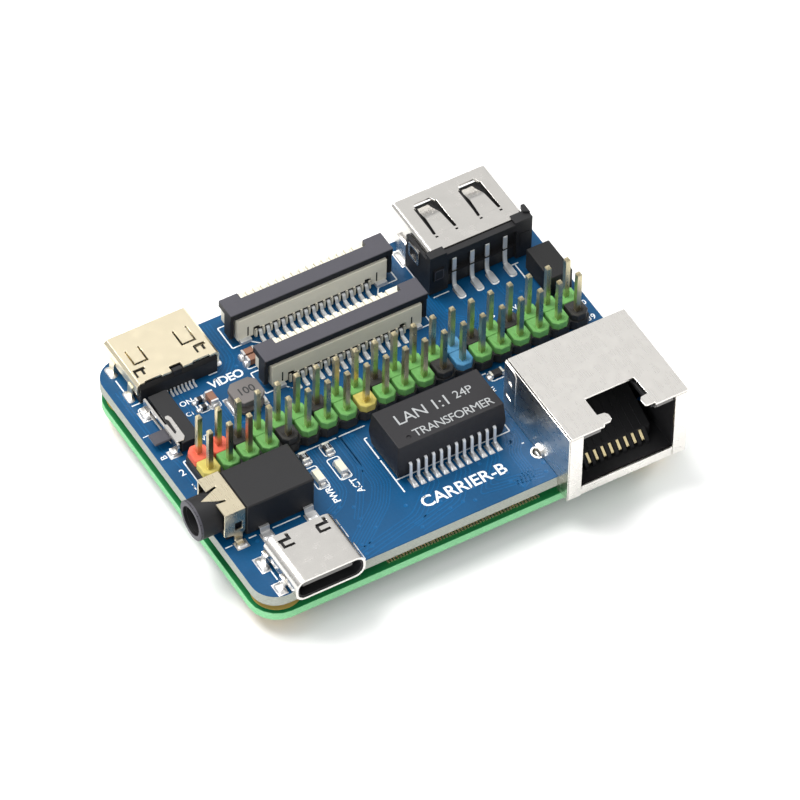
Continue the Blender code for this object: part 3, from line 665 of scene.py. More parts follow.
class BoardSettings(bpy.types.PropertyGroup):
    """Colours and line widths of the two boards."""

    carrier_colour: colour("Carrier lacquer", "Colour of the upper board's faces", rgb(4, 70, 112))
    carrier_edge: colour("Carrier edge", "Colour of the upper board's sawn edge", rgb(158, 163, 153))
    module_colour: colour("Module lacquer", "Colour of the lower board's faces", rgb(30, 118, 62))
    module_edge: colour("Module edge", "Colour of the lower board's sawn edge", rgb(128, 196, 142))
    ink_colour: colour("Ink", "Colour of the printed lines and letters", rgb(236, 240, 242))
    line_width: length("Printed line", "Width of a printed line", 0.16)
    track_width: length("Track", "Width of a copper track", 0.14)


class HeaderSettings(bpy.types.PropertyGroup):
    """Colours and pin size of the pin header."""

    green: colour("Green cells", "Colour of the signal cells", rgb(104, 164, 90))
    red: colour("Red cells", "Colour of the power cells", rgb(220, 98, 76))
    yellow: colour("Yellow cells", "Colour of the lower power cells", rgb(196, 182, 96))
    blue: colour("Blue cells", "Colour of the identity cells", rgb(74, 136, 178))
    black: colour("Black cells", "Colour of the ground cells and the moulding", rgb(42, 42, 42))
    pin_width: length("Pin width", "Side of a square pin", 0.6)
    dish_depth: length("Dish depth", "How far a cell's top dips round its pin", 0.2)


class MetalSettings(bpy.types.PropertyGroup):
    """Colours of the plated metals."""

    steel: colour("Steel", "Nickel plated shells", rgb(224, 221, 216))
    gold: colour("Gold shell", "Gold flashed port shell", rgb(244, 232, 202))
    pin: colour("Pins", "Gold flashed pins", rgb(216, 204, 168))
    tin: colour("Tin", "Solder and tinned leads", rgb(226, 229, 232))


class PlasticSettings(bpy.types.PropertyGroup):
    """Colours of the mouldings."""

    black: colour("Black mouldings", "Port and jack bodies", rgb(27, 27, 29))
    slider: colour("Sliders", "Lifting sliders of the flat cable connectors", rgb(72, 71, 78))
    housing: colour("Housings", "Bodies of the flat cable connectors", rgb(226, 222, 206))
    epoxy: colour("Chip packages", "Moulding compound of the chips", rgb(30, 29, 32))


class StudioSettings(bpy.types.PropertyGroup):
    """Floor, lamps and camera."""

    floor_colour: colour("Floor", "Colour of the plain floor", (0.9, 0.9, 0.9))
    sky: bpy.props.FloatProperty(
        name="Sky", description="Strength of the soft light from all round", default=0.8, min=0
    )
    key: bpy.props.FloatProperty(
        name="Key lamp", description="Power of the large lamp above", default=9.0, min=0, unit="POWER"
    )
    lens: bpy.props.FloatProperty(name="Lens", description="Focal length", default=378.45, min=1, unit="CAMERA")


class SingleBoardSettings(bpy.types.PropertyGroup):
    """All the settings of the board."""

    boards: bpy.props.PointerProperty(type=BoardSettings, name="Boards", description="The two boards")
    header: bpy.props.PointerProperty(type=HeaderSettings, name="Header", description="The pin header")
    metals: bpy.props.PointerProperty(type=MetalSettings, name="Metals", description="Shells, pins and solder")
    plastics: bpy.props.PointerProperty(type=PlasticSettings, name="Plastics", description="Mouldings")
    studio: bpy.props.PointerProperty(type=StudioSettings, name="Studio", description="Floor, lamps and camera")


# ---------------------------------------------------------------- operators


class BoardOperator:
    """What the operators share."""

    bl_options = {"REGISTER", "UNDO"}

    def execute(self, context):
        self.build(context.scene.single_board)
        return {"FINISHED"}


CAMERA_PLACE = Vector((-301.32, -518.11, 717.72))
CAMERA_ROWS = (
    (0.86208603, 0.3709689, -0.34523868), (-0.50646906, 0.65387382, -0.56208373),
    (0.01722695, 0.65941724, 0.75157976)
)


class BOARD_OT_stage(BoardOperator, bpy.types.Operator):
    """Lay the pale floor, hang the soft lamps and set the camera"""

    bl_idname = "board.stage"
    bl_label = "Stage"

    def build(self, look):
        studio = look.studio
        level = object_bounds()[0].z
        floor_mesh = bpy.data.meshes.new("floor")
        half = 3.0
        floor_mesh.from_pydata(lift(rectangle(-half, half, -half, half), "Z", level), [], [(0, 1, 2, 3)])
        floor = bpy.data.objects.new("floor", floor_mesh)
        bpy.context.scene.collection.objects.link(floor)
        paper = Look("paper floor")
        fibre = paper.noise(0.02, 3)
        tone = paper.mix(fibre * 0.2, studio.floor_colour, shade(studio.floor_colour, 1.03))
        floor_mesh.materials.append(paper.done(Base_Color=tone, Roughness=0.9, Specular_IOR_Level=0.1))
        floor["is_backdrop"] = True

        world = bpy.data.worlds.new("soft sky")
        bpy.context.scene.world = world
        world.use_nodes = True
        nodes, links = world.node_tree.nodes, world.node_tree.links
        nodes.clear()
        where = nodes.new("ShaderNodeTexCoord")
        apart = nodes.new("ShaderNodeSeparateXYZ")
        ramp = nodes.new("ShaderNodeValToRGB")
        sky, end = nodes.new("ShaderNodeBackground"), nodes.new("ShaderNodeOutputWorld")
        ramp.color_ramp.elements[0].position, ramp.color_ramp.elements[0].color = 0.0, (0.42, 0.43, 0.45, 1)
        ramp.color_ramp.elements[1].position, ramp.color_ramp.elements[1].color = 0.6, (1, 1, 1, 1)
        links.new(where.outputs["Generated"], apart.inputs[0])
        links.new(apart.outputs["Z"], ramp.inputs["Fac"])
        links.new(ramp.outputs["Color"], sky.inputs["Color"])
        links.new(sky.outputs[0], end.inputs["Surface"])
        sky.inputs["Strength"].default_value = studio.sky

        lamps = (
            ("key lamp", (-0.25, 0.35, 0.9), 0.55, studio.key, (1, 0.99, 0.97)),
            ("fill lamp", (-0.8, -0.5, 0.45), 0.5, studio.key * 0.35, (0.97, 0.98, 1)),
            ("rim lamp", (0.75, 0.15, 0.55), 0.35, studio.key * 0.3, (1, 1, 1)),
        )
        for name, place, size, power, tint in lamps:
            light = bpy.data.lights.new(name, "AREA")
            light.shape, light.size, light.energy, light.color = "DISK", size, power, tint
            lamp = bpy.data.objects.new(name, light)
            lamp.location = place
            lamp.rotation_euler = (-Vector(place)).to_track_quat("-Z", "Y").to_euler()
            bpy.context.scene.collection.objects.link(lamp)

        camera = bpy.data.cameras.new("camera")
        camera.lens, camera.sensor_width, camera.dof.use_dof = studio.lens, 36, False
        camera.clip_start, camera.clip_end = 0.01, 20
        view = bpy.data.objects.new("camera", camera)
        view.matrix_world = Matrix.Translation(ORIGIN + CAMERA_PLACE * MM) @ Matrix(CAMERA_ROWS).to_4x4()
        bpy.context.scene.collection.objects.link(view)
        bpy.context.scene.camera = view
        bpy.context.scene.view_settings.view_transform = "Standard"


def cad_copy(node, finishes, edge=0.05, segments=1, body="computer", paint=(), extra=None, smooth=32):
    """Rebuild a CAD node with softened edges and stand it in the node's place."""
    solid = Solid(node)
    if extra:
        extra(solid)
    solid.soften(edge, segments)
    for finish, test in paint:
        solid.paint(finish, test)
    return piece(node + "_piece", solid, finishes, body, node, smooth=smooth)


def centre(low, high):
    """The middle of a box, seen from above."""
    return (low.x + high.x) / 2, (low.y + high.y) / 2


def upright(_middle, normal):
    """Whether a face stands upright, as a board's edge does."""
    return abs(normal.z) < 0.5


def near_hole(low, high, x, y, square):
    """Whether a spot is nearer to a corner hole of the lower board than the root of a square."""
    holes = [
        (u, v) for u in (low.x + HOLE_INSET, high.x - HOLE_INSET)
        for v in (low.y + HOLE_INSET, high.y - HOLE_INSET)
    ]
    return min((x - u) ** 2 + (y - v) ** 2 for u, v in holes) < square


def lay_tracks(solid, runs, wide, low, high):
    """Lay bundles of copper tracks: their number, their spacing and the line that they follow."""
    for count, pitch, line in runs:
        for k in range(count):
            run = offset_line(line, (k - (count - 1) / 2) * pitch)
            solid.strip(eased(run, 0.8), wide, "Z", low, high)


class BOARD_OT_boards(BoardOperator, bpy.types.Operator):
    """Make the two boards with their sawn edges and hole rings"""

    bl_idname = "board.boards"
    bl_label = "Boards"

    def build(self, look):
        low, high = span("carrier_board")
        jack_low, jack_high = span("network_jack_shell")
        left, right, back = jack_low.x + 0.42, min(jack_high.x - 0.42, high.x - 0.6), jack_high.y - 0.02
        plan = Solid().prism(rounded(low.x, high.x, low.y, high.y, CORNER_RADIUS, 8), "Z", low.z, high.z)
        mouth = [(left, back), (left, -1.0), (right, -1.0), (right, back)]
        plan.cut(Solid().prism(mouth, "Z", low.z - 1, high.z + 1))
        holes = Solid()
        for x in (left, right):
            holes.prism(disc(x, JACK_FOOT_Y, 0.8, 20), "Z", low.z - 1, high.z + 1)
        plan.cut(holes)
        plan.soften(0.06)
        plan.paint(1, upright)
        piece("carrier", plan, ["carrier mask", "carrier edge"], stands_for="carrier_board")
        cad_copy("module_board", ["module mask", "module edge"], 0.06, paint=[(1, upright)])
        low, high = span("module_board")
        rings = Solid()
        for x in (low.x + HOLE_INSET, high.x - HOLE_INSET):
            for y in (low.y + HOLE_INSET, high.y - HOLE_INSET):
                for level in (high.z, low.z - PAD_THICK):
                    profile = [(level, 3.0), (level + PAD_THICK, 3.0), (level + PAD_THICK, 1.4), (level, 1.4)]
                    rings.turned(profile, "Z", x, y, 40, closed=True)
        piece("hole_rings", rings, "ring gold")


def clear_of_parts(taken, x, y, gap):
    """Whether a spot on the upper board is free of parts."""
    for low, high in taken:
        if low.z > -0.5 and low.x - gap < x < high.x + gap and low.y - gap < y < high.y + gap:
            return False
    return True


TRACK_RUNS = (
    # on the upper board: number of tracks, spacing, and the line that they follow
    (7, 0.34, [(20.3, 17.2), (20.3, 9.0), (18.6, 6.4), (13.4, 2.3)]),
    (4, 0.5, [(25.3, 6.9), (25.3, 6.2), (21.4, 2.7), (13.2, 0.9)]),
    (4, 0.5, [(29.3, 6.9), (29.3, 6.0), (26.4, 2.6), (20.6, 1.2)]),
    (4, 0.42, [(33.3, 6.9), (33.3, 6.0), (30.2, 2.4), (36.9, 1.4)]),
    (5, 0.3, [(36.9, 9.6), (36.9, 6.9), (35.6, 5.6), (35.6, 2.0), (33.6, 0.9)]),
    (3, 0.3, [(35.4, 9.7), (36.2, 9.0), (36.2, 7.6), (35.3, 6.6)]),
    (4, 0.36, [(15.9, 17.2), (15.9, 10.2), (14.6, 8.6), (13.0, 7.9)]),
    (3, 0.4, [(19.2, 17.2), (19.2, 12.2), (16.9, 8.0), (15.2, 5.6)]),
    (4, 0.42, [(14.6, 39.4), (14.6, 33.6), (12.9, 31.9), (11.2, 31.9)]),
    (2, 0.4, [(1.0, 35.5), (1.0, 25.0), (1.9, 23.2), (1.9, 10.6)]),
    (3, 0.36, [(38.2, 33.0), (38.2, 25.4), (36.6, 23.6)]),
    (2, 0.34, [(45.1, 28.2), (45.1, 26.0), (43.9, 24.8), (43.9, 23.0)]),
    (2, 0.34, [(47.1, 28.2), (47.1, 26.6), (48.4, 25.2), (48.4, 23.0)]),
    (3, 0.34, [(42.7, 28.2), (42.7, 25.6), (40.2, 23.0)]),
    (4, 0.34, [(39.4, 31.2), (39.4, 27.0), (41.4, 25.0), (41.4, 23.0)]),
    (2, 0.4, [(7.0, 31.8), (7.0, 27.6), (5.9, 26.2), (5.9, 23.0)]),
    (3, 0.34, [(10.2, 27.6), (10.2, 25.2), (9.2, 24.0), (9.2, 23.0)]),
)
MODULE_RUNS = (
    (6, 0.36, [(36.5, 15.0), (40.5, 19.0), (40.5, 27.0)]),
    (5, 0.36, [(20.6, 12.6), (24.0, 16.0), (24.0, 18.6)]),
    (4, 0.4, [(33.0, 27.6), (33.0, 26.0)]),
    (4, 0.4, [(41.8, 11.8), (41.8, 14.6), (37.6, 18.8)]),
    (3, 0.4, [(5.0, 20.4), (5.0, 16.0), (7.0, 14.4)]),
    (5, 0.34, [(17.4, 25.0), (20.6, 25.0), (22.0, 23.6)]),
)
OUTLINES = (
    # printed lines round the ports
    [(14.0, 17.3), (19.2, 17.3)],
    [(19.5, 17.3), (22.9, 17.3)],
    [(38.4, 17.3), (38.9, 17.3)],
    [(21.85, 6.5), (21.85, 11.9)],
    [(21.85, 12.2), (21.85, 15.6), (22.25, 15.6)],
    [(21.95, 8.5), (36.8, 8.5), (36.8, 10.0)],
    [(2.4, 19.3), (2.4, 22.7), (3.2, 22.7)],
    [(1.4, 32.8), (2.9, 32.8)],
    [(4.6, 32.35), (5.5, 32.35)],
    [(11.3, 32.6), (12.4, 32.6)],
    [(1.7, 35.1), (1.7, 37.1)],
    [(17.1, 38.3), (15.7, 38.3), (15.7, 34.8), (18.0, 34.8), (19.1, 33.8)],
    [(34.3, 33.8), (34.9, 34.7), (37.4, 34.7), (37.4, 36.7)],
    [(17.1, 30.5), (15.6, 30.5), (15.6, 27.0), (18.0, 27.0), (18.7, 26.2)],
    [(34.4, 26.2), (35.0, 26.9), (37.4, 26.9), (37.4, 29.0)],
    [(3.0, 2.4), (3.0, 3.9)],
    [(12.15, 2.4), (12.15, 3.9)],
    [(0.2, 9.25), (1.1, 9.25)],
    [(3.2, 9.25), (4.2, 9.25)],
    [(6.3, 9.25), (9.9, 9.25)],
    [(39.6, 30.2), (41.7, 30.2)],
    [(50.4, 26.4), (50.4, 30.1)],
    [(49.9, 30.1), (50.9, 30.1)],
    [(39.3, 33.2), (39.3, 35.9)],
    [(37.0, 6.2), (37.3, 6.2)],
)
PRINTED_BOXES = (
    # left, right, front and back of the boxes round the small parts
    (38.9, 40.8, 15.85, 17.15),
    (7.75, 9.0, 28.0, 30.15),
    (9.05, 10.4, 27.9, 30.35),
    (13.75, 15.05, 15.4, 17.1),
    (16.75, 18.05, 15.4, 17.1),
    (13.6, 15.1, 11.5, 14.9),
    (16.5, 18.0, 11.5, 14.9),
    (15.7, 17.75, 32.35, 33.6),
    (15.7, 17.75, 31.15, 32.25),
)
LETTERING = (
    # words, where they start, height of the capitals, turn, weight, spacing
    ("CARRIER-B", 22.6, 3.35, 1.6, 0, 0.035, 1.0),
    ("VIDEO", 10.6, 30.65, 1.15, 0, 0.03, 0.88),
    ("PWR", 15.0, 8.9, 0.82, 90, 0.02, 1.0),
    ("ACT", 18.1, 8.9, 0.82, 90, 0.02, 1.0),
    ("2", 1.2, 20.9, 0.95, 0, 0.01, 1.0),
    ("1", 1.3, 18.4, 0.95, 0, 0.01, 1.0),
    ("39", 53.25, 18.35, 0.8, 0, 0.01, 1.0),
    ("40", 53.55, 20.8, 0.7, 0, 0.01, 1.0),
    ("0", 1.6, 31.3, 0.75, 0, 0.01, 1.0),
    ("1", 0.95, 27.8, 0.75, 90, 0.01, 1.0),
    ("B", 1.15, 24.0, 0.75, 90, 0.01, 1.0),
    ("ON", 6.2, 29.9, 0.75, 0, 0.01, 1.0),
    ("C1", 6.1, 28.3, 0.6, 0, 0.01, 1.0),
    ("R1", 38.6, 14.4, 0.6, 90, 0.01, 1.0),
    ("5V", 46.2, 24.0, 0.7, 0, 0.01, 1.0),
    ("USB", 42.6, 24.2, 0.7, 0, 0.01, 1.0),
    ("3V3", 5.3, 24.3, 0.7, 0, 0.01, 1.0),
)


class BOARD_OT_print(BoardOperator, bpy.types.Operator):
    """Lay the copper tracks, the vias, the printed outlines and the lettering"""

    bl_idname = "board.print"
    bl_label = "Tracks and lettering"

    def build(self, look):
        wide = look.boards.track_width / MM
        tracks = Solid()
        lay_tracks(tracks, TRACK_RUNS, wide, -0.01, 0.014)
        chance = random.Random(11)
        taken = [span(node) for node in frame["nodes"]]
        places = [(line[-1][0] + 0.4, line[-1][1] - 0.1) for _, _, line in TRACK_RUNS]
        while len(places) < 110:
            x, y = chance.uniform(1.2, 53.8), chance.uniform(1.0, 39.0)
            if clear_of_parts(taken, x, y, 0.45) and all((x - u) ** 2 + (y - v) ** 2 > 0.9 for u, v in places):
                places.append((x, y))
        for x, y in places:
            tracks.turned([(-0.01, 0.27), (0.02, 0.25), (0.02, 0.12), (0.004, 0.09)], "Z", x, y, 12)
        piece("copper_tracks", tracks, "carrier track")

        ink = look.boards.line_width / MM
        lines = Solid()
        for line in OUTLINES:
            lines.strip(eased(line, 0.15, 2), ink, "Z", -0.01, INK_THICK)
        for x0, x1, y0, y1 in PRINTED_BOXES:
            lines.strip(rounded(x0, x1, y0, y1, 0.25, 2), ink * 0.8, "Z", -0.01, INK_THICK, closed=True)
        for x in (14.35, 17.25):
            lines.block(x - 0.7, x + 0.7, 11.62, 11.78, -0.01, INK_THICK)
        piece("printed_outlines", lines, "board ink")

        letters = Solid()
        for text, x, y, tall, turn, weight, spacing in LETTERING:
            letters.words(text, x, y, tall / 0.7, turn, INK_THICK / 2, weight=weight, spacing=spacing)
        piece("printed_letters", letters, "board ink")


TAILS = 50  # in each of a link connector's two rows


class BOARD_OT_links(BoardOperator, bpy.types.Operator):
    """Make the mating connectors between the boards, with their rows of tails"""

    bl_idname = "board.links"
    bl_label = "Board links"

    def build(self, look):
        for half in (
            "module_receptacle_front", "module_receptacle_rear", "carrier_plug_front", "carrier_plug_rear"
        ):
            cad_copy(half, "black plastic", 0.05)
        tails = Solid()
        face = span("module_board")[1].z
        for side in ("front", "rear"):
            low, high = span("module_receptacle_" + side)
            plug_low, plug_high = span("carrier_plug_" + side)
            for i in range(TAILS):
                x = low.x + 1.5 + (high.x - low.x - 3.0) * i / (TAILS - 1)
                for edge, out in ((low.y, -1), (high.y, 1)):
                    foot = [
                        (edge - out * 0.05, low.z + 0.42), (edge + out * 0.12, low.z + 0.42),
                        (edge + out * 0.2, low.z - 0.06), (edge + out * 0.5, low.z - 0.06)
                    ]
                    tails.strip(foot, 0.1, "X", x - 0.09, x + 0.09)
                if side == "front":
                    tails.block(x - 0.12, x + 0.12, 0.6, low.y - 0.2, face, face + 0.16)
                for edge, out in ((plug_low.y, -1), (plug_high.y, 1)):
                    foot = [
                        (edge - out * 0.05, plug_high.z - 0.3), (edge + out * 0.15, plug_high.z - 0.3),
                        (edge + out * 0.25, plug_high.z + 0.04), (edge + out * 0.55, plug_high.z + 0.04)
                    ]
                    tails.strip(foot, 0.1, "X", x - 0.09, x + 0.09)
        piece("link_tails", tails, "contact gold")


FRONT_CELLS = "ygggkgggygggkbgggggk"
BACK_CELLS = "rrkgggkggkgggbkgkggg"
CELL_NAMES = {"y": "yellow", "g": "green", "k": "black", "r": "red", "b": "blue"}


class BOARD_OT_header(BoardOperator, bpy.types.Operator):
    """Make the pin header: dished cells in their colours, and forty square pins"""

    bl_idname = "board.header"
    bl_label = "Pin header"

    def build(self, look):
        low, high = span("gpio_header")
        columns = len(FRONT_CELLS)
        pitch = (high.x - low.x) / columns
        cell_low, cell_top, notch = 1.55, 2.5, 0.6
        dish = look.header.dish_depth / MM
        half = look.header.pin_width / MM / 2
        base = Solid()
        pins = Solid()
        cells = {key: Solid() for key in CELL_NAMES}
        for column in range(columns):
            x = low.x + pitch * (column + 0.5)
            for row, key in ((0, FRONT_CELLS[column]), (1, BACK_CELLS[column])):
                y = low.y + pitch * (row + 0.5)
                outline = []
                for sx, sy in ((-1, -1), (1, -1), (1, 1), (-1, 1)):
                    outside = (sy > 0) == (row == 1)
                    bite = 0.55 if outside else 0.16
                    corner = (x + sx * 1.09, y + sy * (1.1 if outside else pitch / 2 - 0.015))
                    ends = [(corner[0], corner[1] - sy * bite), (corner[0] - sx * bite, corner[1])]
                    outline += ends if sx * sy > 0 else ends[::-1]

                def shrunk(part):
                    """The cell's outline drawn in towards its pin."""
                    return [(x + (px - x) * part, y + (py - y) * part) for px, py in outline]

                levels = ((shrunk(1), cell_low), (shrunk(1), cell_top - 0.08), (shrunk(0.94), cell_top))
                levels += ((shrunk(0.62), cell_top), (shrunk(0.4), cell_top - dish))
                cells[key].loft([lift(ring, "Z", z) for ring, z in levels])
                tip = half * 0.45
                shaft = [(half, cell_top - dish - 0.1), (half, high.z - 0.3), (tip, high.z)]
                pins.loft([lift(rectangle(x - h, x + h, y - h, y + h), "Z", z) for h, z in shaft])
            plan = [
                (x - pitch / 2 + notch, low.y + 0.05), (x + pitch / 2 - notch, low.y + 0.05),
                (x + pitch / 2, low.y + notch)
            ]
            plan += [
                (x + pitch / 2, high.y - notch), (x + pitch / 2 - notch, high.y - 0.05),
                (x - pitch / 2 + notch, high.y - 0.05)
            ]
            plan += [(x - pitch / 2, high.y - notch), (x - pitch / 2, low.y + notch)]
            base.prism(plan, "Z", low.z, cell_low)
        piece("header_base", base, "header black", stands_for="gpio_header")
        for key, solid in cells.items():
            piece("header_cells_" + CELL_NAMES[key], solid, "header " + CELL_NAMES[key])
        piece("header_pins", pins, "pin gold", smooth=20)


class BOARD_OT_network_jack(BoardOperator, bpy.types.Operator):
    """Make the network jack: folded shell, moulded insert and gold contacts"""

    bl_idname = "board.network_jack"
    bl_label = "Network jack"

    def build(self, look):
        low, high = span("network_jack_shell")
        left, right = low.x + 0.4, high.x - 0.4
        front, back, bottom, top = low.y, high.y, low.z, high.z
        sheet = 0.3
        middle = (left + right) / 2 + 0.15
        cheek0, cheek1 = middle - 6.1, middle + 6.0

        shell = Solid()
        tab_left = [
            (middle - 3.35, front), (middle - 3.3, -1.72), (middle - 2.45, -1.72), (middle - 2.15, -1.5),
            (middle - 2.08, -1.1), (middle - 2.1, -0.7), (middle - 2.4, -0.32), (middle - 3.3, -0.2)
        ]
        tab_right = [
            (middle + 3.3, -0.2), (middle + 2.4, -0.32), (middle + 2.1, -0.7), (middle + 2.08, -1.1),
            (middle + 2.15, -1.5), (middle + 2.45, -1.72), (middle + 3.3, -1.72), (middle + 3.35, front)
        ]
        plate = [(left + 0.27, back), (left + 0.27, front)] + tab_left + [
            (middle - 3.25, 2.55), (middle + 3.2, 2.55)
        ] + tab_right + [(right, front), (right, back)]
        shell.prism(plate, "Z", top - sheet, top)
        shell.block(left, left + 0.17, front, back, bottom, top - 0.01)
        shell.block(right - sheet, right, front + 0.05, back, bottom, top - sheet - 0.01)
        shell.block(left + 0.2, right - 0.3, back - sheet, back, bottom, top - sheet - 0.03)
        shell.block(left + 0.19, cheek0, front, front + sheet, bottom, top - sheet - 0.04)
        shell.block(cheek1, right, front, front + sheet, bottom, top - sheet - 0.04)
        shell.block(cheek0 + 0.02, cheek1 - 0.02, front + 0.02, front + sheet, bottom + 0.92, bottom + 1.42)
        shell.block(cheek0 + 0.02, cheek1 - 0.02, front + 0.1, front + sheet, bottom, bottom + 0.84)
        shell.block(left + 0.2, right - 0.3, front + sheet, back - sheet - 0.02, bottom, bottom + 0.2)
        shell.soften(0.07, 2)
        for side in (-1, 1):
            edge = left if side < 0 else right
            x0, x1 = sorted((edge - side * 0.05, edge + side * 0.22))
            shell.prism(
                [
                    (3.2, -2.0), (3.4, -2.2), (4.9, -2.2), (5.1, -2.0), (5.1, 0.2), (4.7, 0.9), (3.6, 0.9),
                    (3.2, 0.2)
                ],
                "X", x0, x1
            )
        flap = Solid().prism(
            [(9.5, 1.4), (back, 1.4), (back, top - 0.3), (9.9, top - 0.3), (9.5, top - 0.7)], "X", left - 0.08,
            left + 0.02
        )
        for y0, y1, z0, z1 in ((10.2, 11.2, 4.9, 5.9), (10.3, 11.7, 2.3, 3.2)):
            window = [(y0, z0), (y1, z0 + 0.2), (y1, z1), (y0 + 0.3, z1 - 0.1)]
            flap.cut(Solid().prism(window, "X", left - 1, left + 1))
            shell.strip([(y0 + 0.1, z0 + 0.12), (y1 - 0.1, z0 + 0.3)], 0.14, "X", left - 0.07, left + 0.03)
            shell.strip([(y1 - 0.12, z0 + 0.3), (y1 - 0.12, z1 - 0.15)], 0.14, "X", left - 0.07, left + 0.03)
        flap.soften(0.02)
        shell.add(flap)
        for x in (left + 3.2, right - 3.2):
            shell.strip(
                [(x - 0.6, 0.6), (x - 0.6, 2.3), (x + 0.6, 2.3), (x + 0.6, 0.6)], 0.1, "Y", back - 0.02,
                back + 0.03
            )
        piece("jack_shell", shell, "jack steel", stands_for="network_jack_shell")

        cad_copy("network_jack_insert", "inside dark", 0.06)
        tips, comb = Solid(), Solid()
        for i in range(8):
            x = middle + 1.004 * (i - 3.5)
            tips.strip(
                eased([(1.5, -1.2), (0.3, -0.62), (1.35, 0.22), (2.2, 0.55)], 0.25), 0.14, "X", x - 0.17,
                x + 0.17
            )
            comb.prism([(1.4, 0.52), (8.6, 3.46), (8.6, 3.6), (1.4, 0.66)], "X", x + 0.3, x + 0.36, 1)
        piece(
            "jack_contacts", tips, "contact gold", stands_for="network_jack_contacts", edge=0.03
        )
        comb.prism([(1.25, -1.7), (8.8, -1.7), (8.8, 3.7), (1.25, 0.5)], "X", middle - 4.9, middle + 4.9)
        for i in range(9):
            x = middle + 1.004 * (i - 4)
            comb.prism([(0.1, -1.7), (1.3, -1.7), (1.3, 0.5), (0.1, -0.75)], "X", x - 0.22, x + 0.22)
        for x0, x1 in ((cheek0 + 0.05, middle - 3.6), (middle + 3.7, cheek1 - 0.05)):
            comb.block(x0, x1, front + 0.4, 1.6, top - 1.3, top - 0.4, 2)
            comb.block(x0, x1, front + 0.8, 1.6, top - 1.75, top - 1.35, 2)
        piece(
            "jack_comb", comb, ["inside dark", "slider plastic", "tongue plastic"], edge=0.05
        )
        feet = Solid()
        for side in (-1, 1):
            x = left if side < 0 else right
            for level in (0.0, -1.66):
                half = [
                    (x + side * r * math.cos(a), JACK_FOOT_Y + r * math.sin(a))
                    for r, turns in ((0.98, 1), (0.78, -1))
                    for a in [turns * math.radians(d) for d in range(-90, 91, 15)]
                ]
                feet.prism(half, "Z", level, level + 0.07)
            feet.mound(x + side * 0.15, JACK_FOOT_Y, 0.3, 0.6, 0.4, level=-0.35)
        piece("jack_solder", feet, "tin")


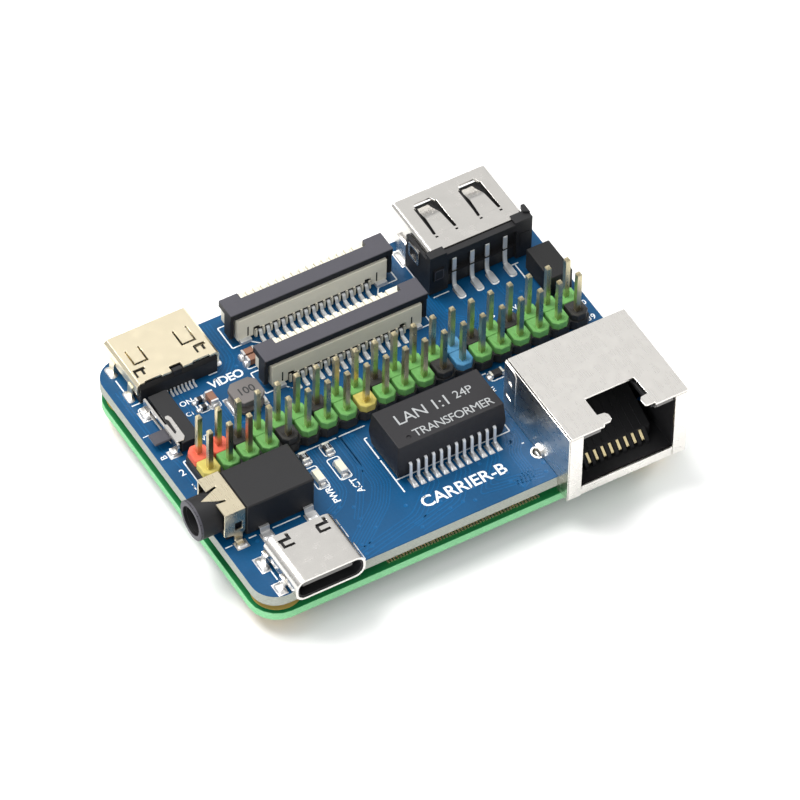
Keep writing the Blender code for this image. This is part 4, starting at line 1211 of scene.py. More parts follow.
class BOARD_OT_usb_a(BoardOperator, bpy.types.Operator):
    """Make the tall socket on the back edge: sprung shell, moulding and four leads"""

    bl_idname = "board.usb_a"
    bl_label = "Tall socket"

    def build(self, look):
        low, high = span("usb_a_shell")
        middle = (span("usb_a_lead_1")[0].x + span("usb_a_lead_4")[1].x) / 2
        top = high.z
        centres = (middle - 2.95, middle + 2.95)

        def windows(solid):
            """Cut the openings round the two sprung fingers."""
            gaps = Solid()
            for x in centres:
                plan = [
                    (x - 1.55, 33.85), (x - 1.4, 33.72), (x + 1.4, 33.72), (x + 1.55, 33.85), (x + 1.3, 38.4),
                    (x + 1.0, 39.0), (x - 1.0, 39.0), (x - 1.3, 38.4)
                ]
                gaps.prism(plan, "Z", top - 0.75, top + 1)
            solid.cut(gaps)

        cad_copy("usb_a_shell", "steel", 0.09, 2, extra=windows)
        fingers = Solid()
        for x in centres:
            stages = (
                (33.45, 0.0, 1.5), (33.74, 0.0, 1.5), (33.78, 0.0, 1.2), (36.3, -0.04, 1.0),
                (36.7, -0.12, 0.98), (38.1, -0.72, 0.82), (38.8, -0.86, 0.72)
            )
            rings = []
            for y, drop, half in stages:
                level = top - 0.02 + drop
                rings.append(lift(rectangle(x - half, x + half, level - 0.24, level), "Y", y))
            fingers.loft(rings)
        lowest = Solid().prism(rounded(32.9, 35.2, 3.0, 5.2, 0.25, 2), "X", low.x - 0.27, low.x - 0.13)
        lowest.cut(Solid().prism(rounded(33.35, 34.8, 3.35, 4.85, 0.2, 2), "X", low.x - 1, low.x))
        fingers.add(lowest)
        piece("socket_fingers", fingers, "steel", edge=0.04)

        side0, side1 = low.x + 0.35, high.x - 0.35
        x0, x1 = side0 - 0.47, side1 + 0.47
        face = span("usb_a_housing")[0].y + 0.02
        body = Solid()
        front = Solid().block(x0, x1, face, low.y - 0.06, 0.3, top - 0.22)
        recess = Solid().block(middle - 4.35, middle + 4.75, face - 1, face + 0.62, 2.6, 5.0)
        recess.block(middle - 4.35, middle + 4.75, face - 1, face + 0.42, -1.0, 2.599)
        front.cut(recess)
        front.block(x0, side0 - 0.06, low.y - 0.055, 35.9, 0.3, top - 0.75)
        front.block(side1 + 0.06, x1, low.y - 0.055, 33.6, 0.3, top - 1.7)
        front.block(x0, x0 + 2.2, face - 0.02, low.y + 0.25, top - 0.215, top + 0.14)
        front.block(x1 - 2.3, x1, face - 0.02, low.y + 0.45, top - 0.215, top + 0.14)
        front.prism(
            [(x1 - 0.7, low.y + 0.1), (x1, low.y - 0.3), (x1, low.y + 1.1), (x1 - 0.45, low.y + 1.1)], "Z",
            top - 0.215, top + 0.42
        )
        front.block(x0 + 0.5, x0 + 1.85, face - 0.16, face + 0.1, 2.5, 4.2)
        front.block(x1 - 1.6, x1 - 0.4, face - 0.05, face + 0.1, 2.2, 4.3)
        body.add(front)
        body.block(middle - 5.4, middle + 5.4, low.y + 0.9, high.y - 1.0, top - 2.7, top - 0.95)
        body.block(low.x + 0.6, high.x - 0.6, low.y + 0.05, low.y + 1.4, 1.2, top - 0.5)
        body.block(x0 + 0.1, x0 + 0.2, 31.3, 35.6, 2.2, 2.4)
        piece("socket_body", body, "black plastic", stands_for="usb_a_housing", edge=0.07)
        peg = Solid().strip(
            rounded(x0 + 0.62, x0 + 1.73, 2.65, 4.05, 0.2, 2), 0.09, "Y", face - 0.2, face, closed=True
        )
        piece("socket_peg", peg, "slider plastic")
        leads = Solid()
        y = 30.82
        for x in (middle - 3.4, middle - 1.0, middle + 1.0, middle + 3.4):
            line = eased([(y + 0.6, 4.62), (y, 4.62), (y - 0.02, 1.2), (y - 0.18, 0.15), (y - 2.2, 0.15)], 0.3)
            leads.strip(line, 0.22, "X", x - 0.26, x + 0.26)
            leads.prism(
                [
                    (x - 0.26, y - 0.25), (x - 0.4, y - 0.8), (x - 0.4, y - 2.15), (x + 0.4, y - 2.15),
                    (x + 0.4, y - 0.8), (x + 0.26, y - 0.25)
                ],
                "Z", 0.05, 0.3
            )
            leads.mound(x, y - 1.35, 0.52, 1.05, 0.18, 1)
        stands = [f"usb_a_lead_{i}" for i in range(1, 5)]
        piece("socket_leads", leads, ["lead tin", "tin"], stands_for=stands, edge=0.03)
        joints = Solid()
        for x in (low.x, high.x):
            joints.mound(x, 37.2, 0.42, 1.25, 0.3)
            joints.block(x - 0.5, x + 0.5, 35.95, 38.6, 0.0, PAD_THICK)
        piece("socket_solder", joints, "tin")


class BOARD_OT_usb_c(BoardOperator, bpy.types.Operator):
    """Make the small round-ended socket on the front edge"""

    bl_idname = "board.usb_c"
    bl_label = "Round-ended socket"

    def build(self, look):
        low, high = span("usb_c_shell")
        middle = (low.x + high.x) / 2
        top, back = high.z, high.y

        def hooks(solid):
            """Cut the two hooked slots and the two weld dimples."""
            cuts = Solid()
            for side in (-1, 1):
                x = middle + side * 2.4
                plan = [
                    (x - 0.75, back - 1.3), (x + 0.8, back - 1.3), (x + 0.8, back - 0.25),
                    (x + 0.4, back - 0.25), (x + 0.4, back - 0.85), (x - 0.75, back - 0.85)
                ]
                cuts.prism(plan, "Z", top - 0.6, top + 1)
                cuts.turned(
                    [(top - 0.12, 0.1), (top + 0.2, 0.26)], "Z", x - 0.1 + 0.4 * (side < 0), back - 2.1, 14
                )
            solid.cut(cuts)

        cad_copy("usb_c_shell", "steel", 0.04, extra=hooks)
        cad_copy("usb_c_tongue", "inside dark", 0.04)
        mid = (high.z + high.z - 3.2) / 2
        tongue = Solid()
        tongue.block(middle - 3.2, middle + 3.2, low.y + 0.75, back - 2.0, mid - 0.3, mid + 0.3)
        for side in (-1, 1):
            for i in range(12):
                x = middle - 2.75 + 0.5 * i
                z = mid + side * 0.31
                tongue.block(x - 0.12, x + 0.12, low.y + 1.0, back - 3.0, z - 0.02, z + 0.02, 1)
        piece("round_socket_tongue", tongue, ["tongue plastic", "contact gold"], edge=0.02)
        # a near-black sleeve just inside the steel shell: painted shade in the socket's mouth
        shade_sleeve = Solid()
        inner = rounded(middle - 4.18, middle + 4.18, mid - 1.3, mid + 1.3, 1.05, 6)
        inset = rounded(middle - 3.95, middle + 3.95, mid - 1.08, mid + 1.08, 0.9, 6)
        shade_sleeve.loft(
            [
                lift(inner, "Y", low.y + 0.12), lift(inner, "Y", back - 0.4), lift(inset, "Y", back - 0.8),
                lift(inset, "Y", low.y + 0.12)
            ],
            closed=True
        )
        piece("round_socket_shade_sleeve", shade_sleeve, "inside dark", smooth=40)
        joints = Solid()
        for x in (low.x - 0.15, high.x + 0.15):
            for y, reach in ((1.1, 0.85), (5.1, 1.1)):
                joints.mound(x, y, 0.55, reach, 0.4)
                joints.block(x - 0.62, x + 0.62, y - reach - 0.1, y + reach + 0.1, 0.0, PAD_THICK)
        piece("round_socket_solder", joints, "tin")


class BOARD_OT_video(BoardOperator, bpy.types.Operator):
    """Make the gold video port and its row of leads"""

    bl_idname = "board.video"
    bl_label = "Video port"

    def build(self, look):
        low, high = span("video_shell")
        insert_low, insert_high = span("video_insert")
        middle = (insert_low.x + insert_high.x) / 2
        front, top = low.y - 0.2, high.z - 0.3
        base = top - 3.0
        x0, x1 = middle - 5.25, middle + 5.45

        def outline(wall):
            """The port's outline, drawn in by a wall."""
            return [
                (x0 + 1.2 + wall * 0.4, base + wall),
                (x1 - 1.2 - wall * 0.4, base + wall),
                (x1 - 0.5 - wall * 0.8, base + 0.9 + wall * 0.5),
                (x1 - wall, base + 1.3 + wall * 0.5),
                (x1 - wall, top - 0.35 - wall * 0.6),
                (x1 - 0.35 - wall * 0.6, top - wall),
                (x0 + 0.35 + wall * 0.6, top - wall),
                (x0 + wall, top - 0.35 - wall * 0.6),
                (x0 + wall, base + 1.3 + wall * 0.5),
                (x0 + 0.5 + wall * 0.8, base + 0.9 + wall * 0.5),
            ]

        shell = Solid()
        rings = [
            lift(outline(wall), "Y", y)
            for wall, y in ((0.0, front), (0.0, high.y - 0.05), (0.06, high.y), (0.3, high.y), (0.3, front))
        ]
        shell.loft(rings, closed=True)
        cuts = Solid()
        for side in (-1, 1):
            x = middle + side * 3.1
            plan = [
                (x - 0.95, 38.0), (x - 0.95, 35.6), (x + 0.95, 35.6), (x + 0.95, 38.0), (x + 0.72, 38.0),
                (x + 0.72, 35.85), (x - 0.72, 35.85), (x - 0.72, 38.0)
            ]
            cuts.prism(plan, "Z", top - 0.6, top + 1)
            x = middle + side * 3.9
            plan = [
                (x - 0.75, 33.8), (x - 0.5, 33.8), (x - 0.5, 34.6), (x + 0.15, 34.6), (x + 0.15, 33.9),
                (x + 0.45, 33.9), (x + 0.45, 34.6), (x + 0.75, 34.6), (x + 0.75, 35.0), (x - 0.75, 35.0)
            ]
            cuts.prism(plan, "Z", top - 0.6, top + 1)
            cuts.block(
                middle + side * 3.1 - 1.1, middle + side * 3.1 + 1.1, front - 1, front + 0.18, top - 0.6,
                top + 1
            )
        cuts.block(middle - 0.75, middle + 0.75, front - 1, front + 0.75, top - 0.6, top + 1)
        shell.cut(cuts)
        shell.soften(0.04)
        for x, out in ((x0, -1), (x1, 1)):
            for y in (34.2, 38.4):
                leg = [
                    (x + out * -0.05, 2.0), (x + out * 0.08, 1.7), (x + out * 0.12, 0.3), (x + out * 0.12, -0.9)
                ]
                shell.strip(leg, 0.2, "Y", y - 0.5, y + 0.5)
        piece("video_port_shell", shell, "gold shell", stands_for="video_shell")

        body = Solid()
        face = front - 0.2
        body.prism(
            [
                (face, 0.1), (front + 2.2, 0.1), (front + 2.2, top - 0.45), (front + 0.1, top - 0.45),
                (face, top - 1.0)
            ],
            "X", x0 + 0.32, x1 - 0.32
        )
        body.block(x0 + 1.7, x1 - 1.7, front + 2.0, high.y - 1.2, base + 1.35, base + 2.0)
        body.block(middle - 0.6, middle + 0.6, front - 0.12, front + 0.5, top - 0.9, top - 0.12)
        piece("video_port_body", body, "black plastic", stands_for="video_insert", edge=0.07)
        leads = Solid()
        for i in range(11):
            x = middle - 1.02 + 0.487 * (i - 4)
            leads.strip(
                [(face + 0.2, 0.5), (face - 0.08, 0.45), (face - 0.16, 0.12), (face - 0.75, 0.12)], 0.1, "X",
                x - 0.11, x + 0.11
            )
            leads.block(x - 0.15, x + 0.15, face - 0.85, face - 0.2, 0.0, PAD_THICK)
        for i in range(19):
            x = middle - 3.6 + 0.4 * i
            leads.block(x - 0.1, x + 0.1, front + 3.0, high.y - 1.5, base + 2.0, base + 2.04, 1)
        piece("video_port_leads", leads, ["lead tin", "contact gold"], edge=0.02)
        joints = Solid()
        for x in (x0 - 0.3, x1 + 0.3):
            for y in (34.2, 38.4):
                joints.mound(x, y, 0.5, 0.95, 0.26)
        piece("video_port_solder", joints, "tin")


class BOARD_OT_flat_cable(BoardOperator, bpy.types.Operator):
    """Make the two flat cable connectors with their lifting sliders"""

    bl_idname = "board.flat_cable"
    bl_label = "Flat cable connectors"

    def build(self, look):
        for side in ("front", "rear"):
            low, high = span(f"fpc_{side}_housing")
            middle = (low.x + high.x) / 2
            cad_copy(f"fpc_{side}_housing", "housing plastic", 0.06)
            # the slider's upright faces take the black finish: painted shade on its sides, while its top keeps
            # the grey slider plastic
            cad_copy(
                f"fpc_{side}_slider", ["slider plastic", "black plastic"], 0.07,
                body=f"fpc_{side}_slider", paint=[(1, upright)]
            )
            leads, teeth = Solid(), Solid()
            for k in range(15):
                x = middle + k - 7
                line = [(low.y + 0.3, 0.95), (low.y - 0.28, 0.95), (low.y - 0.5, 0.14), (low.y - 1.45, 0.14)]
                leads.strip(eased(line, 0.15, 2), 0.16, "X", x - 0.21, x + 0.21)
                leads.mound(x, low.y - 1.05, 0.3, 0.62, 0.2, 1)
                teeth.prism(
                    [
                        (high.y - 0.95, high.z - 0.9), (high.y - 0.05, high.z - 0.9),
                        (high.y - 0.05, high.z - 0.25), (high.y - 0.95, high.z)
                    ],
                    "X", x - 0.14, x + 0.14
                )
            slots = Solid()
            # a near-black strip over the housing's front, with housing coloured dividers before it, and two
            # thin dark slits near its ends: painted shade in the slot openings
            slots.block(middle - 7.6, middle + 7.6, low.y - 0.03, low.y + 0.3, 0.04, 1.25)
            for k in range(16):
                x = middle + k - 7.5
                slots.block(x - 0.16, x + 0.16, low.y - 0.22, low.y + 0.05, 0.03, 1.25, 1)
            for x in (low.x + 1.35, high.x - 1.35):
                slots.block(x - 0.09, x + 0.09, low.y - 0.03, low.y + 0.05, 0.6, 2.1)
            piece(
                f"flat_cable_slot_shade_{side}", slots, ["inside dark", "housing plastic"],
                edge=0.03
            )
            for x in (low.x + 0.9, high.x - 0.9):
                leads.block(x - 0.7, x + 0.7, low.y - 0.55, low.y + 0.5, 0.02, 0.5)
            piece(f"flat_cable_leads_{side}", leads, ["lead tin", "tin"], edge=0.02)
            piece(f"flat_cable_contacts_{side}", teeth, "housing plastic", edge=0.03)


class BOARD_OT_switch(BoardOperator, bpy.types.Operator):
    """Make the slide switch: body, cover, spring and knob"""

    bl_idname = "board.switch"
    bl_label = "Slide switch"

    def build(self, look):
        low, high = span("boot_switch_body")
        cad_copy("boot_switch_body", "black plastic", 0.05)
        cad_copy("boot_switch_cover", "steel", 0.03)
        cad_copy("boot_switch_knob", "slider plastic", 0.07, body="boot_switch_knob")
        x, y, top = low.x - 0.5, low.y, high.z
        plan = [
            (x, y + 0.35), (x + 0.85, y + 0.25), (x + 1.25, y + 0.75), (x + 1.28, y + 3.9), (x + 1.1, y + 4.35),
            (x + 0.72, y + 4.4), (x + 0.55, y + 4.1)
        ]
        plan += [
            (x + 0.8, y + 3.6), (x + 0.72, y + 1.75), (x + 0.45, y + 1.55), (x + 0.4, y + 3.2), (x, y + 3.4)
        ]
        hook = Solid().prism(plan, "Z", top, top + 0.16)
        hook.block(x - 0.08, x + 0.08, y + 0.4, y + 3.3, top - 0.5, top + 0.16)
        piece("boot_switch_hook", hook, "steel", stands_for="boot_switch_spring", edge=0.04)
        pads = Solid()
        left = low.x - 0.6
        for y0, y1 in ((low.y - 0.2, low.y + 1.1), (high.y - 1.9, high.y - 0.2)):
            pads.block(left - 0.95, left + 0.6, y0, y1, 0.0, PAD_THICK)
            pads.mound(left - 0.15, (y0 + y1) / 2, 0.62, (y1 - y0) / 2 - 0.1, 0.42)
        for k in range(3):
            pads.block(high.x - 0.1, high.x + 0.55, low.y + 1.4 + 2.4 * k, low.y + 2.0 + 2.4 * k, 0.0, 0.16)
        piece("boot_switch_solder", pads, "tin", edge=0.02)


class BOARD_OT_audio(BoardOperator, bpy.types.Operator):
    """Make the audio jack with its barrel, clip and tabs"""

    bl_idname = "board.audio"
    bl_label = "Audio jack"

    def build(self, look):
        low, high = span("audio_jack_body")
        clip_low, clip_high = span("audio_jack_clip")
        cad_copy("audio_jack_body", "black plastic", 0.07, 2, smooth=40)
        middle = (low.y + high.y) / 2
        rim = Solid()
        x = low.x
        rim.turned(
            [(x - 0.03, 1.84), (x - 0.03, 2.36), (x + 0.04, 2.45), (x + 0.3, 2.46), (x + 0.3, 1.84)], "X",
            middle, BARREL_Z, 40, closed=True
        )
        piece("audio_jack_rim", rim, "slider plastic", smooth=40)
        # a near-black sleeve in the black plastic bore, darker than the body: painted shade down the bore
        mouth = Solid()
        mouth.turned(
            [(x + 0.35, 1.79), (x + 0.35, 1.6), (x + 4.6, 1.5), (x + 4.6, 1.79)], "X", middle, BARREL_Z, 32,
            closed=True
        )
        piece("audio_jack_shade_sleeve", mouth, "inside dark", smooth=40)

        x0, x1 = 0.25, clip_high.x + 0.12
        top = clip_high.z
        y0, y1 = clip_low.y - 0.02, clip_high.y + 0.02
        clip = Solid()
        plate = [
            (x0, y0), (x1, y0), (x1, y1), (x0, y1), (x0, middle + 1.1), (x0 + 1.25, middle + 1.35),
            (x0 + 1.3, middle + 1.1), (x0 + 0.5, middle + 0.85)
        ]
        plate += [
            (x0 - 1.3, middle + 0.1), (x0 + 0.5, middle - 0.75), (x0 + 1.3, middle - 0.95),
            (x0 + 1.25, middle - 1.2), (x0, middle - 1.05)
        ]
        clip.prism(plate, "Z", top - 0.05, top + 0.22)
        for y, out in ((y0, 1), (y1, -1)):
            inner = y + out * 0.25
            side = Solid().prism(
                [
                    (x0, top + 0.1), (x1, top + 0.1), (x1, 1.5), (2.65, 1.2), (2.55, 0.15), (1.55, 0.15),
                    (1.5, 1.2), (x0, 1.5)
                ],
                "Y", min(y, inner), max(y, inner)
            )
            side.cut(Solid().block(1.6, 2.5, y - 1, y + 1, 2.0, 3.2))
            clip.add(side)
            foot = [(y + out * 0.1, 0.6), (y - out * 0.1, 0.16), (y - out * 0.75, 0.12)]
            clip.strip(foot, 0.18, "X", 1.6, 2.5)
        piece("audio_jack_clip_piece", clip, "clip gold", stands_for="audio_jack_clip", edge=0.05)
        tabs = Solid()
        spots = [
            ((tab[0].x + tab[1].x) / 2, tab[0].y)
            for tab in (span("audio_jack_tab_front"), span("audio_jack_tab_far"))
        ]
        for tx, ty in spots:
            tabs.strip(
                [(ty + 1.5, 0.9), (ty + 0.85, 0.85), (ty + 0.7, 0.2), (ty, 0.16)], 0.16, "X", tx - 0.6, tx + 0.6
            )
        for tx, ty in spots + [(2.05, clip_low.y - 0.75)]:
            tabs.block(tx - 0.8, tx + 0.8, ty - 0.55, ty + 0.75, 0.0, PAD_THICK)
            tabs.mound(tx, ty + 0.05, 0.7, 0.55, 0.22)
        for tx in (5.2, 10.9):
            tabs.block(tx - 0.75, tx + 0.75, high.y + 0.05, high.y + 0.9, 0.0, 0.2)
        piece(
            "audio_jack_tabs", tabs, "tin", stands_for=("audio_jack_tab_front", "audio_jack_tab_far"),
            edge=0.03
        )


class BOARD_OT_transformer(BoardOperator, bpy.types.Operator):
    """Make the network transformer with its leads and lettering"""

    bl_idname = "board.transformer"
    bl_label = "Network transformer"

    def build(self, look):
        low, high = span("lan_transformer")
        y0, y1 = low.y + 1.3, high.y - 1.3
        middle = (low.x + high.x) / 2
        top = high.z
        body = Solid()
        levels = ((low.z + 0.1, 0.25), (2.4, 0.0), (2.9, 0.0), (top, 0.22))
        body.loft([lift(rectangle(low.x + t, high.x - t, y0 + t, y1 - t), "Z", z) for z, t in levels])
        body.soften(0.12, 2, 50)
        body.cut(Solid().turned([(top - 0.12, 0.3), (top + 0.5, 0.34)], "Z", low.x + 2.1, y0 + 1.15, 20))
        body.words("LAN 1:1", low.x + 1.9, y0 + 3.2, 2.2, 0, top, 0.02, finish=1, spacing=0.95)
        body.words("24P", low.x + 9.6, y0 + 3.5, 1.6, 0, top, 0.02, finish=1)
        body.words("TRANSFORMER", low.x + 2.8, y0 + 0.8, 1.62, 0, top, 0.02, finish=1, spacing=0.9)
        piece(
            "transformer_body", body, ["epoxy", "package ink"], stands_for="lan_transformer",
            smooth=35
        )
        leads = Solid()
        for i in range(12):
            x = middle + (i - 5.5)
            for y, out in ((y0, -1), (y1, 1)):
                line = [
                    (y - out * 0.3, 2.62), (y + out * 0.22, 2.62), (y + out * 0.34, 0.17),
                    (y + out * 1.25, 0.17)
                ]
                leads.strip(eased(line, 0.2, 2), 0.2, "X", x - 0.17, x + 0.17)
                leads.mound(x, y + out * 0.85, 0.33, 0.72, 0.26, 1)
                leads.block(x - 0.34, x + 0.34, y + out * 0.85 - 0.78, y + out * 0.85 + 0.78, 0.0, PAD_THICK, 1)
        piece("transformer_leads", leads, ["lead tin", "tin"], edge=0.02)


class BOARD_OT_fan_socket(BoardOperator, bpy.types.Operator):
    """Make the small side socket behind the header"""

    bl_idname = "board.fan_socket"
    bl_label = "Side socket"

    def build(self, look):
        cad_copy("fan_connector", "socket black", 0.06)


def two_pad_part(solid, low, high, along):
    """End caps and solder for a chip part, on its two ends along an axis."""
    x, y = centre(low, high)
    rise = (high.z - low.z) * 0.8
    for side in (-1, 1):
        if along == "X":
            end = low.x if side < 0 else high.x
            cap = sorted((end + side * 0.03, end - side * 0.25))
            solid.block(*cap, low.y - 0.02, high.y + 0.02, 0.1, high.z + 0.02, 1)
            solid.mound(end + side * 0.1, y, 0.35, (high.y - low.y) / 2 + 0.08, rise, 1)
        else:
            end = low.y if side < 0 else high.y
            cap = sorted((end + side * 0.03, end - side * 0.25))
            solid.block(low.x - 0.02, high.x + 0.02, *cap, 0.1, high.z + 0.02, 1)
            solid.mound(x, end + side * 0.1, (high.x - low.x) / 2 + 0.08, 0.35, rise, 1)


CHIP_PARTS = (
    # node, finish, slot, and the axis that its two ends lie along
    ("chip_capacitor_1", "capacitor brown", "cap_brown", "X"),
    ("chip_capacitor_2", "capacitor brown", "cap_brown", "X"),
    ("chip_capacitor_3", "capacitor brown", "cap_brown", "Y"),
    ("chip_resistor_1", "resistor black", "chip_white", "X"),
    ("chip_resistor_2", "resistor black", "chip_white", "X"),
    ("chip_resistor_3", "resistor black", "chip_white", "X"),
    ("power_led_resistor", "resistor black", "chip_white", "Y"),
    ("activity_led_resistor", "resistor black", "chip_white", "Y"),
    ("power_led", "light lens", "chip_white", "Y"),
    ("activity_led", "light lens", "chip_white", "Y"),
)


class BOARD_OT_small_parts(BoardOperator, bpy.types.Operator):
    """Make the coil, capacitors, resistors and lights on the upper board"""

    bl_idname = "board.small_parts"
    bl_label = "Small parts"

    def build(self, look):
        low, high = span("power_inductor")
        coil = Solid()
        cx, cy = centre(low, high)
        hx, hy = (high.x - low.x) / 2, (high.y - low.y) / 2

        def eight(grow, bite):
            """The coil's outline with its corners cut off."""
            return rounded(cx - hx * grow, cx + hx * grow, cy - hy * grow, cy + hy * grow, bite, 1)

        full, waist = eight(1, 0.7), eight(0.8, 1.3)
        rings = ((full, 0.15), (full, 0.5), (waist, 0.55), (waist, high.z - 0.65))
        rings += ((full, high.z - 0.6), (full, high.z - 0.06), (eight(0.96, 0.68), high.z))
        coil.loft([lift(ring, "Z", z) for ring, z in rings])
        coil.words("100", cx - 1.15, cy - 0.5, 1.5, 0, high.z, 0.02, weight=0.02, finish=1)
        for side in (-1, 1):
            x = cx + side * (hx + 0.12)
            coil.block(x - 0.3, x + 0.3, cy - 1.5, cy + 1.5, 0.0, 0.1, 2)
            coil.mound(x, cy, 0.3, 1.4, 0.55, 2)
        piece("power_coil", coil, ["ferrite", "dark ink", "tin"], stands_for="power_inductor")
        for node, finish, slot, along in CHIP_PARTS:
            low, high = span(node)
            chip = Solid().prism(rounded(low.x, high.x, low.y, high.y, 0.05, 1), "Z", 0.1, high.z)
            two_pad_part(chip, low, high, along)
            if node.endswith("led_resistor"):
                x, y = centre(low, high)
                chip.words("102", x + 0.2, y - 0.42, 0.55, 90, high.z + 0.01, 0.02, finish=2)
            piece(node + "_piece", chip, [finish, "tin", "board ink"], stands_for=node, edge=0.02)


CHIPS = (
    # on the lower board's underside: node, finish, slot, what is printed on it and the letters' size
    ("processor_package", "module mask", "module_mask", (), 0),
    ("processor_lid", "lid nickel", "lid_nickel", ("CPU", "4 CORE"), 2.2),
    ("memory_chip", "epoxy", "black_epoxy", ("MEMORY", "4 GB"), 1.7),
    ("storage_chip", "epoxy", "black_epoxy", ("STORAGE", "32 GB"), 1.7),
    ("radio_shield", "lid nickel", "lid_nickel", (), 0),
    ("power_manager_chip", "epoxy", "black_epoxy", ("POWER",), 1.2),
    ("ethernet_chip", "epoxy", "black_epoxy", ("LAN",), 1.5),
    ("crystal", "lid nickel", "lid_nickel", ("25.0",), 0.8),
    ("module_inductor_1", "ferrite", "ferrite", ("2R2",), 1.0),
    ("module_inductor_2", "ferrite", "ferrite", ("2R2",), 1.0),
    ("module_inductor_3", "ferrite", "ferrite", ("1R0",), 0.9),
    ("antenna_socket", "contact gold", "contact_gold", (), 0),
)
RINGED_CHIPS = (
    # chip, how far off its row of capacitors stands, and their spacing
    ("processor_package", 1.0, 1.25),
    ("power_manager_chip", 1.25, 1.1),
    ("ethernet_chip", 1.25, 1.2),
    ("memory_chip", 1.0, 1.9),
    ("storage_chip", 1.0, 2.1),
    ("radio_shield", 1.1, 2.2),
)


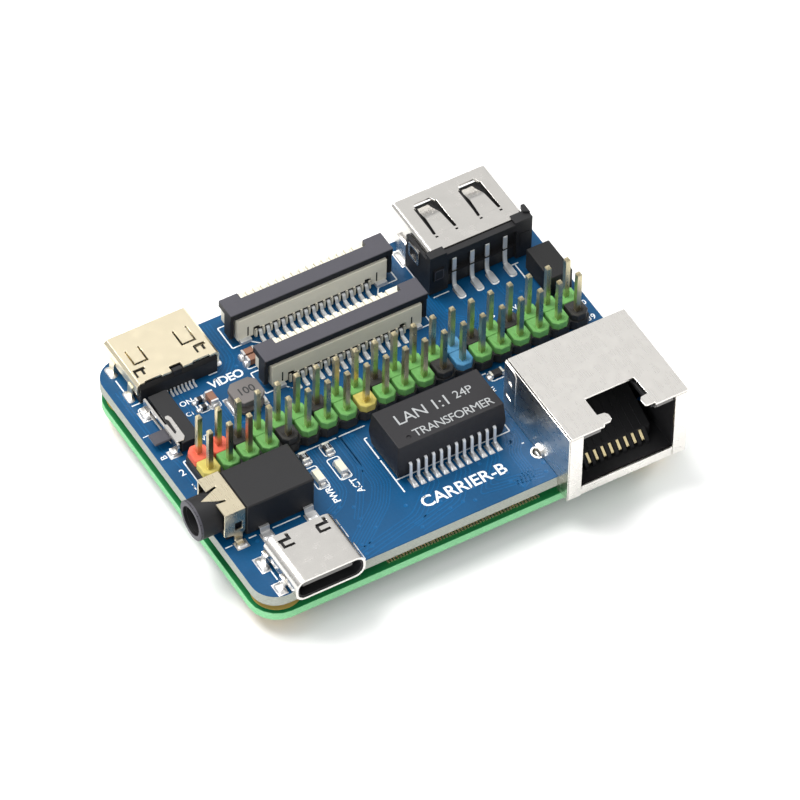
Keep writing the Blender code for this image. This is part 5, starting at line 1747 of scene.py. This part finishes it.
class BOARD_OT_underside(BoardOperator, bpy.types.Operator):
    """Make the chips on the lower board's underside"""

    bl_idname = "board.underside"
    bl_label = "Underside chips"

    def build(self, look):
        low, high = span("module_board")
        face = low.z
        lower = [span(node) for node in frame["nodes"] if span(node)[0].z < face - 0.05]

        def ribs(solid):
            """Press a groove and rows of dimples into the shield."""
            shield_low, shield_high = span("radio_shield")
            groove = Solid()
            line = rounded(
                shield_low.x + 0.7, shield_high.x - 0.7, shield_low.y + 0.7, shield_high.y - 0.7, 0.5, 3
            )
            groove.strip(line, 0.22, "Z", shield_low.z - 1, shield_low.z + 0.08, closed=True)
            for i in range(5):
                for j in range(3):
                    x, y = shield_low.x + 2.4 + 1.8 * i, shield_low.y + 2.6 + 3.2 * j
                    groove.turned([(shield_low.z - 1, 0.28), (shield_low.z + 0.12, 0.28)], "Z", x, y, 14)
            solid.cut(groove)

        for node, finish, slot, _, _ in CHIPS:
            cad_copy(node, finish, 0.06, extra=ribs if node == "radio_shield" else None)

        marks = Solid()
        for node, _, _, lines, size in CHIPS:
            x, middle = centre(*span(node))
            for k, text in enumerate(lines):
                y = middle - size * (0.35 - 0.8 * ((len(lines) - 1) / 2 - k) * 1.2)
                marks.words(text, x, y, size, 0, span(node)[0].z - 0.004, under=True, middle=True)
        piece("chip_marks", marks, "package ink")

        caps, pads = Solid(), Solid()
        placed = []

        def small(x, y, along, tone):
            """Stand a small capacitor on the board, if its spot is free."""
            if any((u, v) != (x, y) and abs(u - x) < 0.85 and abs(v - y) < 0.85 for u, v in placed):
                return
            if not (low.x + 1 < x < high.x - 1 and low.y + 1 < y < high.y - 1):
                return
            if any(c.x - 0.65 < x < d.x + 0.65 and c.y - 0.65 < y < d.y + 0.65 for c, d in lower):
                return
            if near_hole(low, high, x, y, 13):
                return
            placed.append((x, y))

            def slab(solid, ends, half, z0, z1, finish=0):
                """A block between two ends along the capacitor and half a width to each side."""
                if along == "X":
                    solid.block(*ends, y - half, y + half, z0, z1, finish)
                else:
                    solid.block(x - half, x + half, *ends, z0, z1, finish)

            place = x if along == "X" else y
            slab(caps, (place - 0.5, place + 0.5), 0.27, face - 0.45, face - 0.02, tone)
            for side in (-1, 1):
                cap = sorted((place + side * 0.28, place + side * 0.53))
                slab(caps, cap, 0.27 + 0.015, face - 0.47, face - 0.01, 1)
                far = place + side * 0.68
                slab(pads, (min(cap[0], far), max(cap[1], far)), 0.27 + 0.07, face - PAD_THICK, face)

        for node, reach, step in RINGED_CHIPS:
            chip_low, chip_high = span(node)
            for i in range(int((chip_high.x - chip_low.x) / step) + 1):
                for y in (chip_low.y - reach, chip_high.y + reach):
                    small(chip_low.x + 0.3 + i * step, y, "Y", 2 if i % 4 == 3 else 0)
            for i in range(int((chip_high.y - chip_low.y) / step) + 1):
                for x in (chip_low.x - reach, chip_high.x + reach):
                    small(x, chip_low.y + 0.3 + i * step, "X", 2 if i % 5 == 1 else 0)
        for node in ("power_manager_chip", "ethernet_chip"):
            chip_low, chip_high = span(node)
            for i in range(12):
                x, y = (place + (i - 5.5) * 0.5 for place in centre(chip_low, chip_high))
                for edge, out in ((chip_low.y, -1), (chip_high.y, 1)):
                    ends = sorted((edge - out * 0.2, edge + out * 0.3))
                    pads.block(x - 0.12, x + 0.12, *ends, face - 0.12, face)
                for edge, out in ((chip_low.x, -1), (chip_high.x, 1)):
                    ends = sorted((edge - out * 0.2, edge + out * 0.3))
                    pads.block(*ends, y - 0.12, y + 0.12, face - 0.12, face)
        piece(
            "underside_capacitors", caps, ["capacitor brown", "tin", "resistor black"], edge=0.02
        )
        piece("underside_pads", pads, "tin")

        tracks, ink = Solid(), Solid()
        wide = look.boards.track_width / MM
        lay_tracks(tracks, MODULE_RUNS, wide, face - 0.014, face + 0.01)
        chance = random.Random(5)
        while len(placed) < 260:
            x, y = chance.uniform(low.x + 1.5, high.x - 1.5), chance.uniform(low.y + 1.5, high.y - 1.5)
            placed.append((x, y))
            if any(c.x - 0.4 < x < d.x + 0.4 and c.y - 0.4 < y < d.y + 0.4 for c, d in lower):
                continue
            if all(
                (x - u) ** 2 + (y - v) ** 2 > 0.8 for u, v in placed[:-1]
            ) and not near_hole(low, high, x, y, 11):
                via = [(face + 0.01, 0.27), (face - 0.02, 0.25), (face - 0.02, 0.12), (face - 0.004, 0.09)]
                tracks.turned(via, "Z", x, y, 12)
        piece("module_tracks", tracks, "module track")
        names = (
            "processor_package", "memory_chip", "storage_chip", "radio_shield", "power_manager_chip",
            "ethernet_chip"
        )
        for node in names:
            chip_low, chip_high = span(node)
            line = rounded(chip_low.x - 0.35, chip_high.x + 0.35, chip_low.y - 0.35, chip_high.y + 0.35, 0.3, 3)
            if node.startswith(("memory", "storage", "radio")):
                ink.strip(line, 0.14, "Z", face - INK_THICK, face + 0.01, closed=True)
            ink.turned(
                [(face + 0.01, 0.22), (face - INK_THICK, 0.22)], "Z", chip_low.x - 0.55, chip_high.y + 0.5, 14
            )
        ink.words("COMPUTE MODULE", 39.5, 37.0, 1.5, 0, face - 0.01, INK_THICK, weight=0.02, under=True)
        ink.words("REV 1", 50.5, 2.2, 1.2, 0, face - 0.01, INK_THICK, under=True)
        ink.words("ANT", 12.5, 36.2, 1.1, 0, face - 0.01, INK_THICK, under=True)
        piece("module_letters", ink, "board ink")


OPERATORS = (
    BOARD_OT_stage,
    BOARD_OT_boards,
    BOARD_OT_print,
    BOARD_OT_links,
    BOARD_OT_header,
    BOARD_OT_network_jack,
    BOARD_OT_usb_a,
    BOARD_OT_usb_c,
    BOARD_OT_video,
    BOARD_OT_flat_cable,
    BOARD_OT_switch,
    BOARD_OT_audio,
    BOARD_OT_transformer,
    BOARD_OT_fan_socket,
    BOARD_OT_small_parts,
    BOARD_OT_underside,
)


class BOARD_PT_panel(bpy.types.Panel):
    """The board's tools and settings in the sidebar"""

    bl_idname = "BOARD_PT_panel"
    bl_label = "Single board computer"
    bl_space_type = "VIEW_3D"
    bl_region_type = "UI"
    bl_category = "Board"

    def draw(self, context):
        for operator in OPERATORS:
            self.layout.operator(operator.bl_idname)
        settings = context.scene.single_board
        for group in ("boards", "header", "metals", "plastics", "studio"):
            box = self.layout.box()
            box.label(text=group.capitalize())
            shown = getattr(settings, group)
            for key in shown.__annotations__:
                box.prop(shown, key)


GROUPS = (BoardSettings, HeaderSettings, MetalSettings, PlasticSettings, StudioSettings, SingleBoardSettings)


def register():
    """Add the settings, the operators and the panel."""
    for group in (*GROUPS, *OPERATORS, BOARD_PT_panel):
        bpy.utils.register_class(group)
    bpy.types.Scene.single_board = bpy.props.PointerProperty(
        type=SingleBoardSettings, name="Single board computer", description="Settings of the board"
    )


def unregister():
    """Take them away again."""
    del bpy.types.Scene.single_board
    for group in reversed((*GROUPS, *OPERATORS, BOARD_PT_panel)):
        bpy.utils.unregister_class(group)


def main():
    """Take away the default objects, add the tools and build every piece."""
    for spare in [o for o in bpy.context.scene.objects if o.name in ("Cube", "Light", "Camera")]:
        bpy.data.objects.remove(spare)
    register()
    for operator in OPERATORS:
        getattr(bpy.ops.board, operator.bl_idname.split(".")[1])()
    bpy.context.view_layer.update()


if __name__ == "__main__":
    main()
